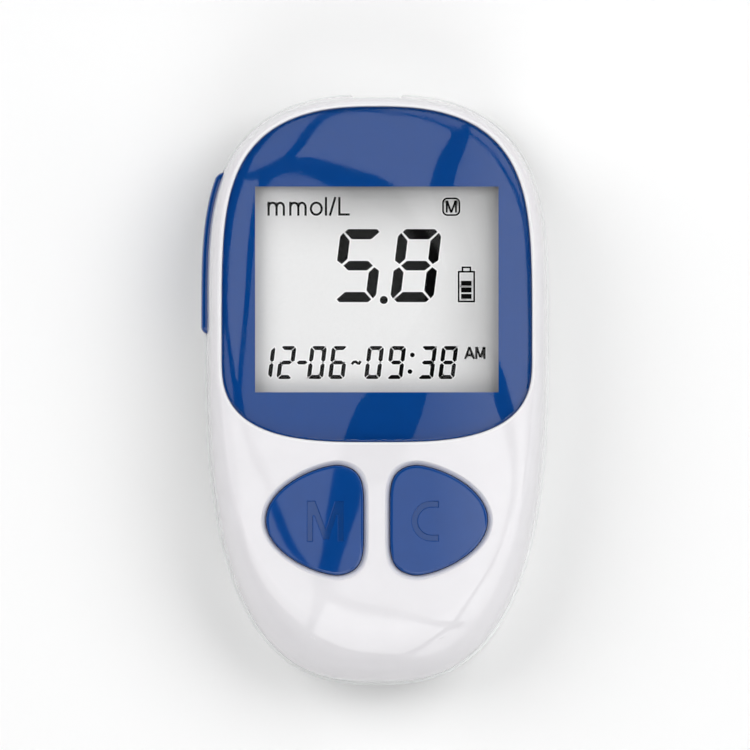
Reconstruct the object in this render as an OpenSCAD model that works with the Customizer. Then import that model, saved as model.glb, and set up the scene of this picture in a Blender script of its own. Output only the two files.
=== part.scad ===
// Hand-held blood glucose meter. Millimetres, +Z up out of the display, +Y towards the strip port.
// The origin is the middle of the flat back.

/* [Case] */
// Overall length of the case
body_l = 96; // [95.5:0.5:100]
// Overall width of the case at its widest
body_w = 56; // [55.5:0.5:60]
// Wall of both case halves
wall = 1.6; // [1.3:0.1:1.8]
// How far the front case's edge stays inside the rear case's rim
rim_step = 0.45; // [0.2:0.05:0.6]
// Width of the rounded edge at the long sides
edge_run = 2.4; // [2:0.1:2.6]
// Width of the rounded edge at the top end
edge_run_top = 1.6; // [1.4:0.1:1.8]
// Width of the rounded edge at the bottom end
edge_run_bottom = 9; // [6:0.5:9.5]
// Width of the rounded edge at the back
edge_run_back = 5.5; // [4:0.5:6]
// Drop of the front face from the middle to the long sides
crown_side = 0.9; // [0.4:0.1:1.1]
// Drop of the front face from the middle to the top end
crown_top = 0.7; // [0.3:0.1:0.9]
// Drop of the front face from the middle to the bottom end
crown_bottom = 1.8; // [0.8:0.1:2]

/* [Window] */
// White rim left between the case's side and the window panel
lens_margin = 2.98; // [2.8:0.02:3.4]
// Distance from the case's top end to the window panel
lens_top_margin = 2.1; // [2:0.1:3]
// Distance from the case's bottom end to the window panel
lens_foot = 39.6; // [39.2:0.1:40.4]
// Thickness of the window panel in the middle
lens_t = 1.6; // [1.4:0.1:1.8]
// Width of the printed border beside the clear opening
view_side = 5.32; // [5.2:0.02:6.5]
// Length of the printed border above the clear opening
view_inset = 13.05; // [12.85:0.1:14]
// Length of the printed border below the clear opening
view_foot = 7.95; // [7.5:0.05:9.5]
// Thickness of the printed mask behind the panel
mask_t = 0.1; // [0.05:0.05:0.2]
// Thickness of the adhesive ring
adhesive_t = 0.2; // [0.1:0.05:0.3]
// Thickness of the ledge that carries the panel
ledge_t = 1.2; // [1:0.1:1.4]
// Gap round the panel
lens_gap = 0.12; // [0.05:0.01:0.2]

/* [Buttons] */
// Length of a button across the case
button_w = 15.7; // [14.5:0.1:16]
// Height of a button along the case
button_l = 17.7; // [16:0.1:18]
// Straight gap between the two buttons
button_space = 4.4; // [4:0.1:6]
// Distance from the case's bottom end to the buttons' middle
button_from_end = 26.85; // [26.45:0.1:28]
// How far a button stands above the case
button_proud = 0.35; // [0.1:0.05:0.6]
// Travel of a button
button_travel = 0.5; // [0.3:0.05:0.6]
// Gap round a button
button_gap = 0.18; // [0.1:0.01:0.3]
// Width of the bevel in the case round a button
button_bevel = 0.8; // [0.4:0.1:1]
// Width of the retaining flange round a button
button_flange = 0.9; // [0.7:0.1:1.2]
// Diameter of a key dome
dome_d = 7; // [5:0.5:8]

/* [Display] */
// How far the liquid crystal glass reaches past the clear opening at the sides
lcd_border = 1; // [0.7:0.05:1.05]
// Thickness of the display sandwich
lcd_t = 1.8; // [1.4:0.1:2]
// Wall of the display holder
holder_wall = 0.8; // [0.6:0.1:0.9]
// Floor of the display holder
holder_floor = 0.6; // [0.4:0.1:0.8]
// Space under the holder's floor
holder_foot = 0.3; // [0.2:0.1:0.5]
// Play of the glass in its holder, on each side
lcd_gap = 0.1; // [0.05:0.05:0.15]

/* [Board] */
// Thickness of the circuit board
board_t = 1; // [0.8:0.1:1]
// Distance from the case's outside to the board's edge
board_inset = 4.2; // [4.1:0.1:4.6]
// Diameter of the buzzer
buzzer_d = 9; // [7:0.5:9.5]
// Width of the microcontroller
chip_w = 9; // [7:0.5:9]

/* [Battery] */
// Diameter of a cell
cell_d = 10.5; // [10:0.1:10.5]
// Space under the cells and over them, up to the circuit board
cell_play = 0.45; // [0.45:0.05:0.9]
// Length of a cell, with its positive nub
cell_l = 44.5; // [43:0.1:44.5]
// Space between the two cells
cell_space = 0.8; // [0.5:0.1:1]
// Compressed length of a contact spring
cell_spring_l = 5.3; // [4.5:0.1:5.5]
// Wall of the battery bay
bay_wall = 1.2; // [1:0.1:1.4]
// Thickness of the contact plates
plate_t = 0.3; // [0.25:0.05:0.4]
// Gap round the battery door
door_gap = 0.15; // [0.1:0.05:0.25]
// Width of the step that carries the door along its sides
door_step = 1.6; // [1.4:0.1:1.8]

/* [Ejector] */
// Length of the side key
key_l = 26.4; // [24:0.2:27]
// Height of the side key
key_h = 5.8; // [5:0.1:6]
// How far the side key stands out of the case
key_proud = 0.78; // [0.5:0.02:1]
// Fitted length of the side key's return spring
return_spring_l = 5.1; // [4.9:0.05:5.2]
// Travel of the side key
key_travel = 1; // [0.8:0.05:1.05]
// Gap round the side key
key_gap = 0.12; // [0.08:0.01:0.2]
// Reach of the crank from its pivot to the pusher
crank_long = 12; // [11.6:0.1:12.4]
// Reach of the crank from its pivot to the key
crank_short = 3.6; // [3.5:0.1:4]
// Diameter of the crank's pivot pin
pivot_d = 2; // [1.6:0.1:2.2]
// Radial play of the crank on its pin
pivot_play = 0.05; // [0.02:0.01:0.1]

/* [Strip port] */
// Width of the strip slot
port_w = 7.2; // [6.6:0.1:7.4]
// Height of the strip slot
port_h = 1.3; // [1.2:0.1:1.4]
// Width of the notch in the case's end
notch_w = 8.3; // [7.8:0.1:9]
// Depth of the notch
notch_depth = 0.65; // [0.3:0.05:0.8]

/* [Fasteners] */
// Thread diameter of the case screws
case_screw_d = 2; // [1.8:0.1:2.2]
// Head diameter of the case screws
case_head_d = 3.8; // [3.4:0.1:4]
// Thread diameter of the board screws
board_screw_d = 1.6; // [1.4:0.1:1.8]
// Radial play of a screw in its hole
screw_play = 0.04; // [0.02:0.01:0.06]

/* [Hidden] */
$fn = 40;
sides = 72;       // points round the case outlines
small_sides = 44; // points round the button outlines
cut = 1;          // how far a cut runs past the face that it opens
root = 0.3;       // how deep a boss or a rib is rooted in the wall that carries it
seat_gap = 0.1;   // play between parts that lie on each other

// An outline is two half superellipses that share their widest line:
// [half width, y of the widest line, length above, length below, x and y powers above, x and y powers below]
body_wide_y = 10.4;
body_end = body_l / 2;
body_half = body_w / 2 - 0.1;
body_egg = [body_half, body_wide_y, body_end - body_wide_y, body_end + body_wide_y, 2.56, 3.52, 2.67, 2.93];
lens_wide_y = 5;
lens_end = body_end - lens_top_margin;
lens_start = -body_end + lens_foot;
lens_half = body_w / 2 - lens_margin;
lens_egg = [lens_half, lens_wide_y, lens_end - lens_wide_y, lens_wide_y - lens_start, 2.66, 4.69, 3.25, 2.76];
button_apex = 4.4;
button_egg = [button_l / 2, 0, button_w - button_apex, button_apex, 2, 1.45, 5.2, 2];

// Heights, from the cells up to the window
floor_t = wall;
cell_z = floor_t + cell_play + cell_d / 2;
board_under = cell_z + cell_d / 2 + cell_play;
board_top = board_under + board_t;
lcd_under = board_top + holder_foot + holder_floor;
lcd_top = lcd_under + lcd_t;
ceiling = lcd_top + 0.2;
ledge_top = ceiling + ledge_t;
mask_under = ledge_top + adhesive_t;
lens_under = mask_under + mask_t;
body_t = lens_under + lens_t;
split = board_under - 4; // the parting line
wall_in = rim_step + wall;

// Clear opening, mask and display
tape_inset = 0.5; // the mask and the adhesive stop this far inside the panel's edge
tape_step = 1;    // the adhesive stays this far outside the clear opening
lens_edge = 1.5;  // width and drop of the panel's rounded edge
lens_drop = 0.45;
view_w = 2 * (lens_half - view_side);
view_end = lens_end - view_inset;
view_start = lens_start + view_foot;
lcd_w = view_w + 2 * lcd_border;
ledge_play = 1.4;
lcd_end = view_end + 1;
lcd_start = view_start - 1.8;
glass_step = 1.6; // how far the front glass reaches past the rear glass
lcd_round = 3.3;  // the holder's corners follow the case's outline this far inside it
zebra_slot = 1;   // the connector's slot in the holder ends this far inside the glass
zebra_inset = 1.3;

// Buttons; the apex is the distance from a button's straight edge to its tallest line
button_y = -body_end + button_from_end;
button_x = button_space / 2 + button_apex;
button_edge = 1.1;
button_drop = 0.45;
bevel_drop = 0.4;
post_x = button_x + 1.4;
post_r = 1.5;
flange_t = 1;
flange_top = ceiling - 0.1;
dome_play = 0.08;
dome_h = button_travel + 0.1;

// Board, and what is soldered to it
board_end = lcd_end + 2.15;
tongue_w = port_w + 14.8;
tongue_end = body_end - 4.8;
chip_t = 1.4;
chip_y = -body_end + 6.3;
amplifier_size = [4, 5];
crystal_r = 1.5;
crystal_l = 8;
buzzer_t = 3;
buzzer_hole_r = 0.8;
chip_rows = [lcd_start - 4.35, lcd_start - 6.75];
chip_pitch = 4;
chip_size = [2, 1.2, 0.8];

// Battery bay and door; the two outer door hooks and the middle one pass between the contact plates
cell_x = (cell_d + cell_space) / 2;
nub_l = 0.8;
bay_half = cell_x + cell_d / 2 + 0.5;
bay_top = board_under - 0.6;
crank_y = body_end - 20.5;
bay_end = crank_y - 8.6;
bay_start = bay_end - cell_l - cell_spring_l - 2 * plate_t;
plate_w = 8.4;
contact_wire = 0.25;
door_under = 0.15;
door_lip = 0.85;
door_foot = bay_start - bay_wall - 0.7;
hook_under = floor_t + 0.15;
hook_t = 0.8;
hook_reach = 1.3;
hook_root = 0.95;
hook_gap = 0.2;
hook_slot = hook_under + hook_t + 0.75;
hooks = [[-1.3, 2.6], [bay_half - 1.5, 1.3], [0.2 - bay_half, 1.3]]; // [start, width] along X
clip_w = 8;
clip_t = 0.8;
clip_h = 6;
clip_reach = 4.3;
clip_gap = 0.4;
clip_in = door_foot - 0.7; // the leg that stands on the door starts here
clip_out = clip_in - clip_reach + clip_t; // outer face of the leg with the catch
clip_mouth = clip_out - 0.6;
catch_reach = 0.5;
side_x = bay_half + bay_wall + 0.4; // what hangs under the board beside the bay starts here
buzzer_at = [side_x + buzzer_d / 2, bay_end - 10.9];
amplifier_at = [side_x + 2, bay_end + 3.1];
crystal_at = [side_x + 5, button_y + 1.15];

// Ejector: the crank lies just under the plane of the strip slot
key_end = body_end - 12.65;
key_start = key_end - key_l;
key_z = split - 0.1;
key_round = 1.2;
key_flange_out = wall_in + 0.4;
key_flange_in = key_flange_out + 0.8;
key_flange_lip = 0.6;
crank_t = 1.4;
crank_under = board_under - 3.7;
crank_top = crank_under + crank_t;
crank_w = 2.4;
crank_hub_r = pivot_d / 2 + 1.5;
crank_boss_r = 1.1;
crank_pin_r = 0.8;
pin_play = 0.1;
pivot = [-crank_long, crank_y];
crank_rest = asin(key_travel / crank_short / 2);
crank_dip = crank_long * sin(crank_rest);
pusher_under = crank_top + 0.3;
pusher_w = port_w - 0.6;
pusher_t = port_h - 0.3;
pusher_start = pivot[1] - crank_dip - 1.9;
pusher_end = pivot[1] - crank_dip + 9.7;
leg_y = pivot[1] - crank_short * cos(crank_rest);
leg_end = pivot[0] - crank_short * sin(crank_rest) - crank_boss_r - 0.2;
leg_w = 2.4;
pin_root = 3.2;
pin_head_r = pivot_d / 2 + 0.9;
pin_head_t = 0.7;
pin_slot = 1.5; // half the slot that the crank's pin runs in
spring_y = key_start + 5;
spring_r = 1.6;
spring_wire = 0.25;
spring_start = -half_at(spring_y, -key_flange_in);
spring_stop = spring_start + return_spring_l;
stop_half = 2.5;
spigot_r = 1;
spigot_l = 1.5;

// Strip connector, hung under the board
connector_w = port_w + 5;
connector_start = pivot[1] + crank_dip + 2.3;
connector_end = body_end - notch_depth - wall - 1.2;
port_under = pusher_under - 0.1;
connector_under = port_under - 1.1;
contact_xs = [-2.4, -0.8, 0.8, 2.4];
contact_w = 0.7;
contact_t = 0.25;
contact_start = connector_start + 2.8;
contact_flat = 5; // the contact lies under the board this far, then bends down to the strip
contact_bend = 7.7;
contact_l = 9;
slot_flare = 0.4; // how much wider the case's slot is than the connector's, on each side
notch_foot = 0.25;
notch_lean = 0.75;

// Fasteners: half of each set; the rest are its mirror images
case_screw_top = body_end - 9.8;
case_screw_low = -body_end + 16.5;
case_screw_at = [
    [half_at(case_screw_top) - 10.1, case_screw_top],
    [half_at(case_screw_low) - 6.9, case_screw_low]];
board_screw_top = body_end - 7.6;
board_screw_side = connector_w / 2 + 2.7;
board_screw_mid = lcd_start - 5.25;
board_screw_low = -body_end + 9.5;
board_screw_at = [
    [board_screw_side, board_screw_top],
    [half_at(board_screw_mid) - 8, board_screw_mid],
    [half_at(board_screw_low) - 10.2, board_screw_low]];
case_head_t = 1.4;
case_head_z = 0.5;
head_gap = 0.15;
case_recess = [2.2, 0.44, 0.8]; // length, width and depth of the cross in a head
board_recess = [1.8, 0.4, 0.45];
case_boss_r = case_head_d / 2 + 1.2;
front_boss_r = case_screw_d / 2 + 1.5;
case_screw_l = board_top + 0.6;
board_head_r = board_screw_d / 2 + 0.8;
board_head_t = 0.9;
board_boss_r = board_screw_d / 2 + 1.1;
board_screw_l = board_t + 1.9;

// Label
label_w = 24;
label_l = 11;
label_y = body_end - 18;
label_t = 0.12;
label_z = 0.03;
label_gap = 0.1;

// Outlines ------------------------------------------------------------------------------------------------

function power(v, p) = sign(v) * pow(abs(v), p);

// The outline's point at angle t, with both half axes longer by grow
function egg_at(e, t, grow = 0) =
    let (up = sin(t) >= 0, p = up ? e[4] : e[6], q = up ? e[5] : e[7])
    [(e[0] + grow) * power(cos(t), 2 / p), e[1] + ((up ? e[2] : e[3]) + grow) * power(sin(t), 2 / q)];

function egg(e, grow = 0, n = sides) = [for (i = [0 : n - 1]) egg_at(e, 360 * i / n, grow)];

// Half width of the case's outline at y
function half_at(y, grow = 0) =
    let (e = body_egg, up = y >= e[1], reach = (up ? e[2] : e[3]) + grow)
    (e[0] + grow) * pow(1 - pow(abs(y - e[1]) / reach, up ? e[5] : e[7]), 1 / (up ? e[4] : e[6]));

// A button's outline on its side of the case: side is 1 for the right one, -1 for the left one
function button_line(side, grow = 0) =
    [for (p = egg(button_egg, grow, small_sides)) [side * (button_x + p[1]), button_y - side * p[0]]];

// Height of the front face above the back, before its edge is rounded
function face_z(p) = body_t - crown_side * pow(p[0] / (body_w / 2), 2)
    - (p[1] > 0 ? crown_top : crown_bottom) * pow(p[1] / body_end, 2);

// How high a rounded edge has risen at a share u of its run
function rise(u) = sqrt(1 - pow(1 - min(u, 1), 2));

// Width of the front edge's rounding at angle t
function run_at(t) = sin(t) > 0
    ? edge_run + (edge_run_top - edge_run) * pow(sin(t), 2)
    : edge_run + (edge_run_bottom - edge_run) * pow(sin(t), 2);

function lift(line, z) = [for (p = line) [p[0], p[1], z]];

// The line laid on the front face raised by up
function on_face(line, up) = [for (p = line) [p[0], p[1], face_z(p) + up]];

function mean(ring) =
    let (ones = [for (p = ring) 1])
    [for (k = [0 : 2]) [for (p = ring) p[k]] * ones / len(ring)];

// The ring drawn in towards the point c, on the front face raised by up
function shrunk(ring, c, k, up = 0) =
    [for (p = ring)
        let (q = [c[0] + (p[0] - c[0]) * k, c[1] + (p[1] - c[1]) * k])
        [q[0], q[1], face_z(q) + up]];

// Forms ---------------------------------------------------------------------------------------------------

// A solid through rings of points, in order along its surface, with a fan of triangles at each end
module loft(rings) {
    n = len(rings[0]);
    m = len(rings);
    points = concat([for (r = rings) each r], [mean(rings[0]), mean(rings[m - 1])]);
    walls = [for (j = [0 : m - 2], i = [0 : n - 1]) let (a = j * n + i, b = j * n + (i + 1) % n)
        each [[a, b, a + n], [b, b + n, a + n]]];
    caps = [for (i = [0 : n - 1]) each
        [[n * m, (i + 1) % n, i], [n * m + 1, (m - 1) * n + i, (m - 1) * n + (i + 1) % n]]];
    polyhedron(points, concat(walls, caps), convexity = 6);
}

// A coil spring along +Z from radius r0 to r1
module coil(length, r0, r1, wire, turns) {
    steps = 12;
    around = 6;
    rings = [for (i = [turns * steps : -1 : 0])
        let (s = i / turns / steps, r = r0 + (r1 - r0) * s, z = wire + (length - 2 * wire) * s)
        [for (j = [0 : around - 1])
            let (a = -360 * j / around, d = r + wire * cos(a))
            [d * cos(360 * i / steps), d * sin(360 * i / steps), z + wire * sin(a)]]];
    loft(rings);
}

module mirrored() {
    children();
    mirror([1, 0, 0]) children();
}

// Children at each of the points and at their mirror images
module each_side(points) {
    mirrored() for (p = points) translate(p) children();
}

// A box between two corners
module box(low, high) {
    translate(low) cube(high - low);
}

module plate(line, z0, z1) {
    translate([0, 0, z0]) linear_extrude(z1 - z0) polygon(line);
}

// How far a band's outer side is drawn in at y, where its ends are rounded by round
function end_drop(y, y0, y1, round) = round > 0 ? round * (1 - rise(min(y - y0, y1 - y) / round)) : 0;

// Part of a band along the case's left side, between two distances outside its outline
module side_band(y0, y1, inner, outer, round, z0, z1) {
    steps = 16;
    near = round > 0 ? [round * 0.1, round * 0.35] : [];
    ys = [for (i = [0 : steps]) y0 + (y1 - y0) * i / steps];
    middle = [for (i = [1 : steps - 1]) ys[i]];
    far = [for (i = [len(near) - 1 : -1 : 0]) y1 - near[i]];
    along = concat([y0], [for (d = near) y0 + d], middle, far, [y1]);
    front = [for (y = along) [-half_at(y, outer - end_drop(y, y0, y1, round)), y]];
    back = [for (i = [steps : -1 : 0]) [-half_at(ys[i], inner), ys[i]]];
    plate(concat(back, front), z0, z1);
}

// The clear opening in front of the display, wider by grow on each side
module view_box(grow, z0, z1) {
    box([-view_w / 2 - grow, view_start - grow, z0], [view_w / 2 + grow, view_end + grow, z1]);
}

// The notch in the case's end where the strip goes in
module port_notch() {
    foot = notch_w / 2 - notch_foot;
    mouth = foot + notch_lean;
    floor_y = body_end - notch_depth;
    end_y = body_end + cut;
    plate([[-foot, floor_y], [foot, floor_y], [mouth, end_y], [-mouth, end_y]], -cut, body_t);
}

// Opening in the case's left side that the key passes through
module key_opening() {
    box([-body_w, key_start - key_gap, key_z - key_h / 2 - key_gap],
        [spring_stop - spigot_l - 1, key_end + key_gap, key_z + key_h / 2 + key_gap]);
}

// Case ----------------------------------------------------------------------------------------------------

module front_shell() {
    shares = [1, 0.75, 0.53, 0.36, 0.22, 0.12, 0.05, 0.01, 0];
    outside = [for (u = shares) [for (i = [0 : sides - 1]) let (t = 360 * i / sides,
        p = egg_at(body_egg, t, -rim_step - run_at(t) * u))
        [p[0], p[1], split + (face_z(p) - split) * rise(u)]]];
    inside = [for (u = [0, 0.06, 0.2, 0.45, 1]) [for (i = [0 : sides - 1]) let (t = 360 * i / sides,
        p = egg_at(body_egg, t, -wall_in - max(run_at(t) - wall, 0.8) * u))
        [p[0], p[1], split + (ceiling - split) * rise(u)]]];
    top = [for (k = [0.2, 0.45, 0.65, 0.85]) shrunk(outside[0], [0, body_egg[1]], k)];
    loft(concat(top, outside, inside));
}

module front_case() color("whitesmoke") {
    difference() {
        union() {
            front_shell();
            each_side(case_screw_at) translate([0, 0, split])
                cylinder(r = front_boss_r, h = ceiling + root - split);
            each_side(board_screw_at) translate([0, 0, board_top])
                cylinder(r = board_boss_r, h = ledge_top - root - board_top);
        }
        plate(egg(lens_egg, lens_gap), ledge_top, body_t + cut);
        view_box(ledge_play / 2, ceiling - cut, ledge_top + cut);
        for (side = [-1, 1]) {
            plate(button_line(side, button_gap), ceiling - cut, body_t + cut);
            loft([on_face(button_line(side, button_gap + button_bevel * 1.25), bevel_drop / 4),
                on_face(button_line(side, button_gap), -bevel_drop)]);
        }
        each_side(case_screw_at) translate([0, 0, split - cut])
            cylinder(r = case_screw_d / 2 + screw_play, h = case_screw_l + 0.8 - split + cut);
        each_side(board_screw_at) translate([0, 0, board_top - cut])
            cylinder(r = board_screw_d / 2 + screw_play, h = cut + board_screw_l - board_t + 0.4);
        key_opening();
        port_notch();
        box([-port_w / 2 - slot_flare, connector_end - cut, port_under - seat_gap],
            [port_w / 2 + slot_flare, body_end + cut, port_under + port_h + seat_gap]);
    }
}

module rear_shell() {
    shares = [0, 0.01, 0.05, 0.12, 0.22, 0.36, 0.53, 0.75, 1];
    inside = [for (u = [1, 0.45, 0.2, 0.06, 0]) lift(egg(body_egg, -wall - (edge_run_back - wall) * u),
        split - (split - floor_t) * rise(u))];
    outside = [for (u = shares) lift(egg(body_egg, -edge_run_back * u), split * (1 - rise(u)))];
    loft(concat(inside, outside));
}

// What stands on the rear case's floor: the bay's walls, the bosses, the crank's post and the spring's stop
module rear_inner() {
    foot = floor_t - root;
    difference() {
        box([-bay_half - bay_wall, bay_start - bay_wall, foot],
            [bay_half + bay_wall, bay_end + bay_wall, bay_top]);
        box([-bay_half, bay_start, 0], [bay_half, bay_end, bay_top + cut]);
    }
    each_side(case_screw_at) translate([0, 0, foot]) cylinder(r = case_boss_r, h = split - seat_gap - foot);
    translate([pivot[0], pivot[1], foot]) cylinder(r = crank_hub_r, h = crank_under - seat_gap - foot);
    box([spring_stop, spring_y - stop_half, foot],
        [spring_stop + bay_wall, spring_y + stop_half, key_z + stop_half]);
    translate([spring_stop + seat_gap, spring_y, key_z]) rotate([0, -90, 0])
        cylinder(r = spigot_r, h = spigot_l + seat_gap);
}

module rear_case() color("gainsboro") difference() {
    union() {
        rear_shell();
        rear_inner();
    }
    box([-bay_half, bay_start, -cut], [bay_half, bay_end, floor_t + cut]);
    box([-bay_half - door_step, door_foot, -cut],
        [bay_half + door_step, bay_end, door_under + door_lip + 0.05]);
    box([-clip_w / 2 - clip_gap, clip_mouth, -cut],
        [clip_w / 2 + clip_gap, bay_start - bay_wall - seat_gap, floor_t + cut]);
    for (h = hooks) box([h[0] - hook_gap, bay_end - cut, floor_t],
        [h[0] + h[1] + hook_gap, bay_end + bay_wall + cut, hook_slot]);
    each_side(case_screw_at) {
        translate([0, 0, -cut]) cylinder(r = case_head_d / 2 + head_gap, h = case_head_z + case_head_t + cut);
        cylinder(r = case_screw_d / 2 + screw_play, h = split + cut);
    }
    translate([pivot[0], pivot[1], crank_under - pin_root - seat_gap])
        cylinder(r = pivot_d / 2 + screw_play, h = pin_root + seat_gap + cut);
    key_opening();
    port_notch();
    label_plate(label_gap, -cut);
}

// The label's rectangle, wider by grow on each side, from z0 up to the label's top
module label_plate(grow, z0) {
    box([-label_w / 2 - grow, label_y - label_l / 2 - grow, z0],
        [label_w / 2 + grow, label_y + label_l / 2 + grow, label_z + label_t]);
}

module rear_label() color("silver") label_plate(0, label_z);

// A cross recess cut upwards into a screw's head from the height z
module cross_recess(size, z) {
    for (a = [0, 90]) rotate(a)
        box([-size[0] / 2, -size[1] / 2, z - cut], [size[0] / 2, size[1] / 2, z + size[2]]);
}

module case_screws() color("dimgray") each_side(case_screw_at) {
    difference() {
        translate([0, 0, case_head_z]) cylinder(d = case_head_d, h = case_head_t);
        cross_recess(case_recess, case_head_z);
    }
    translate([0, 0, case_head_z + case_head_t])
        cylinder(d = case_screw_d, h = case_screw_l - case_head_z - case_head_t);
}

// Window --------------------------------------------------------------------------------------------------

module display_lens() color("royalblue") {
    rounded = [for (u = [1, 0.5, 0.2, 0.05, 0]) [for (p = egg(lens_egg, -lens_edge * u))
        [p[0], p[1], face_z(p) - lens_drop * (1 - rise(u))]]];
    top = [for (k = [0.3, 0.6, 0.85]) shrunk(rounded[0], [0, lens_egg[1]], k)];
    loft(concat(top, rounded, [lift(egg(lens_egg), lens_under)]));
}

module lens_mask() color("navy") difference() {
    plate(egg(lens_egg, -tape_inset), mask_under, lens_under);
    view_box(0, mask_under - cut, lens_under + cut);
}

module lens_adhesive() color("dimgray") difference() {
    plate(egg(lens_egg, -tape_inset), ledge_top, mask_under);
    view_box(tape_step, ledge_top - cut, mask_under + cut);
}

// Buttons -------------------------------------------------------------------------------------------------

module button(side) {
    centre = [side * (button_x + 2), button_y];
    rounded = [for (u = [1, 0.5, 0.2, 0.05, 0]) [for (p = button_line(side, -button_edge * u))
        [p[0], p[1], face_z(p) + button_proud - button_drop * (1 - rise(u))]]];
    top = [for (k = [0.4, 0.75]) shrunk(rounded[0], centre, k, button_proud)];
    flange = button_line(side, button_flange);
    loft(concat(top, rounded, [lift(button_line(side), flange_top), lift(flange, flange_top),
        lift(flange, flange_top - flange_t)]));
    post_end = board_top + dome_h + dome_play;
    translate([side * post_x, button_y, post_end])
        cylinder(r = post_r, h = flange_top - flange_t / 2 - post_end);
}

module dome(side) {
    translate([side * post_x, button_y, board_top]) cylinder(d1 = dome_d, d2 = dome_d / 2, h = dome_h);
}

module memory_button() color("royalblue") button(-1);
module confirm_button() color("royalblue") button(1);
module memory_dome() color("silver") dome(-1);
module confirm_dome() color("silver") dome(1);

// Display -------------------------------------------------------------------------------------------------

module lcd_panel() color("darkseagreen") {
    box([-lcd_w / 2, lcd_start, lcd_top - lcd_t / 2], [lcd_w / 2, lcd_end, lcd_top]);
    box([-lcd_w / 2, lcd_start + glass_step, lcd_under], [lcd_w / 2, lcd_end, lcd_top - lcd_t / 2]);
}

module lcd_holder() color("white") difference() {
    half = lcd_w / 2 + lcd_gap + holder_wall;
    intersection() {
        box([-half, lcd_start - lcd_gap - holder_wall, board_top],
            [half, lcd_end + lcd_gap + holder_wall, ceiling]);
        plate(egg(body_egg, -lcd_round), board_top, ceiling);
    }
    box([-half + holder_wall, lcd_start - lcd_gap, lcd_under],
        [half - holder_wall, lcd_end + lcd_gap, ceiling + cut]);
    box([-half + holder_wall, lcd_start - lcd_gap, board_top - cut],
        [half - holder_wall, lcd_end + lcd_gap, board_top + holder_foot]);
    box([zebra_slot - lcd_w / 2, lcd_start - lcd_gap, board_top - cut],
        [lcd_w / 2 - zebra_slot, lcd_start + glass_step, lcd_under + cut]);
}

module zebra_connector() color("lightpink") {
    box([zebra_inset - lcd_w / 2, lcd_start + 0.15, board_top],
        [lcd_w / 2 - zebra_inset, lcd_start + glass_step - 0.15, lcd_top - lcd_t / 2]);
}

// Board ---------------------------------------------------------------------------------------------------

module main_board() color("seagreen") difference() {
    intersection() {
        plate(egg(body_egg, -board_inset), board_under, board_top);
        union() {
            box([-body_w, -body_l, 0], [body_w, board_end, body_t]);
            box([-tongue_w / 2, 0, 0], [tongue_w / 2, tongue_end, body_t]);
        }
    }
    each_side(case_screw_at) {
        translate([0, 0, board_under - cut]) cylinder(r = front_boss_r + 0.4, h = board_t + 2 * cut);
        box([0, -front_boss_r - 0.4, board_under - cut], [body_w, front_boss_r + 0.4, board_top + cut]);
    }
    each_side(board_screw_at) translate([0, 0, board_under - cut])
        cylinder(r = board_screw_d / 2 + screw_play, h = board_t + 2 * cut);
}

module board_screws() color("silver") each_side(board_screw_at) {
    translate([0, 0, board_under]) cylinder(d = board_screw_d, h = board_screw_l);
    difference() {
        translate([0, 0, board_under - board_head_t]) cylinder(r = board_head_r, h = board_head_t);
        cross_recess(board_recess, board_under - board_head_t);
    }
}

module microcontroller() color("black") {
    box([-chip_w / 2, chip_y, board_top], [chip_w / 2, chip_y + chip_w, board_top + chip_t]);
}

module amplifier_chip() color("black") {
    box([amplifier_at[0], amplifier_at[1], board_under - chip_t],
        concat(amplifier_at + amplifier_size, board_under));
}

module crystal() color("silver") {
    translate([crystal_at[0], crystal_at[1], board_under - crystal_r]) rotate([-90, 0, 0])
        cylinder(r = crystal_r, h = crystal_l);
}

module buzzer() color("black") translate([buzzer_at[0], buzzer_at[1], board_under - buzzer_t]) {
    difference() {
        cylinder(d = buzzer_d, h = buzzer_t);
        translate([0, 0, -cut]) cylinder(r = buzzer_hole_r, h = 1 + cut);
    }
}

// Chip capacitors and resistors, soldered in two rows between the display and the buttons
module board_components() color("tan") {
    for (i = [-3 : 3], y = chip_rows) translate([i * chip_pitch, y, board_top]) cube(chip_size);
}

// Strip port ----------------------------------------------------------------------------------------------

module strip_connector() color("ivory") difference() {
    box([-connector_w / 2, connector_start, connector_under], [connector_w / 2, connector_end, board_under]);
    box([-port_w / 2, connector_start - cut, port_under],
        [port_w / 2, connector_end + cut, port_under + port_h]);
    for (x = contact_xs) box([x - contact_w / 2 - seat_gap, contact_start - seat_gap, port_under + port_h / 2],
        [x + contact_w / 2 + seat_gap, connector_end - 0.7, board_under + cut]);
}

// Sprung contacts: each lies under the board, bends down to the strip and rises again at its tip
module strip_contacts() color("gold") {
    low = port_under + 0.6;
    tip = port_under + port_h - 0.1;
    top = [[board_under, 0], [board_under, contact_flat], [low, contact_bend], [tip, contact_l]];
    under = [for (i = [3 : -1 : 0]) top[i] - [contact_t, 0]];
    for (x = contact_xs) translate([x + contact_w / 2, contact_start, 0]) rotate([0, -90, 0])
        linear_extrude(contact_w) polygon(concat(top, under));
}

module strip_pusher() color("white") difference() {
    slot_y = pivot[1] - crank_dip;
    slot_r = crank_pin_r + pin_play;
    box([-pusher_w / 2, pusher_start, pusher_under], [pusher_w / 2, pusher_end, pusher_under + pusher_t]);
    box([-pin_slot, slot_y - slot_r, pusher_under - cut],
        [pin_slot, slot_y + slot_r, pusher_under + pusher_t + cut]);
}

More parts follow.
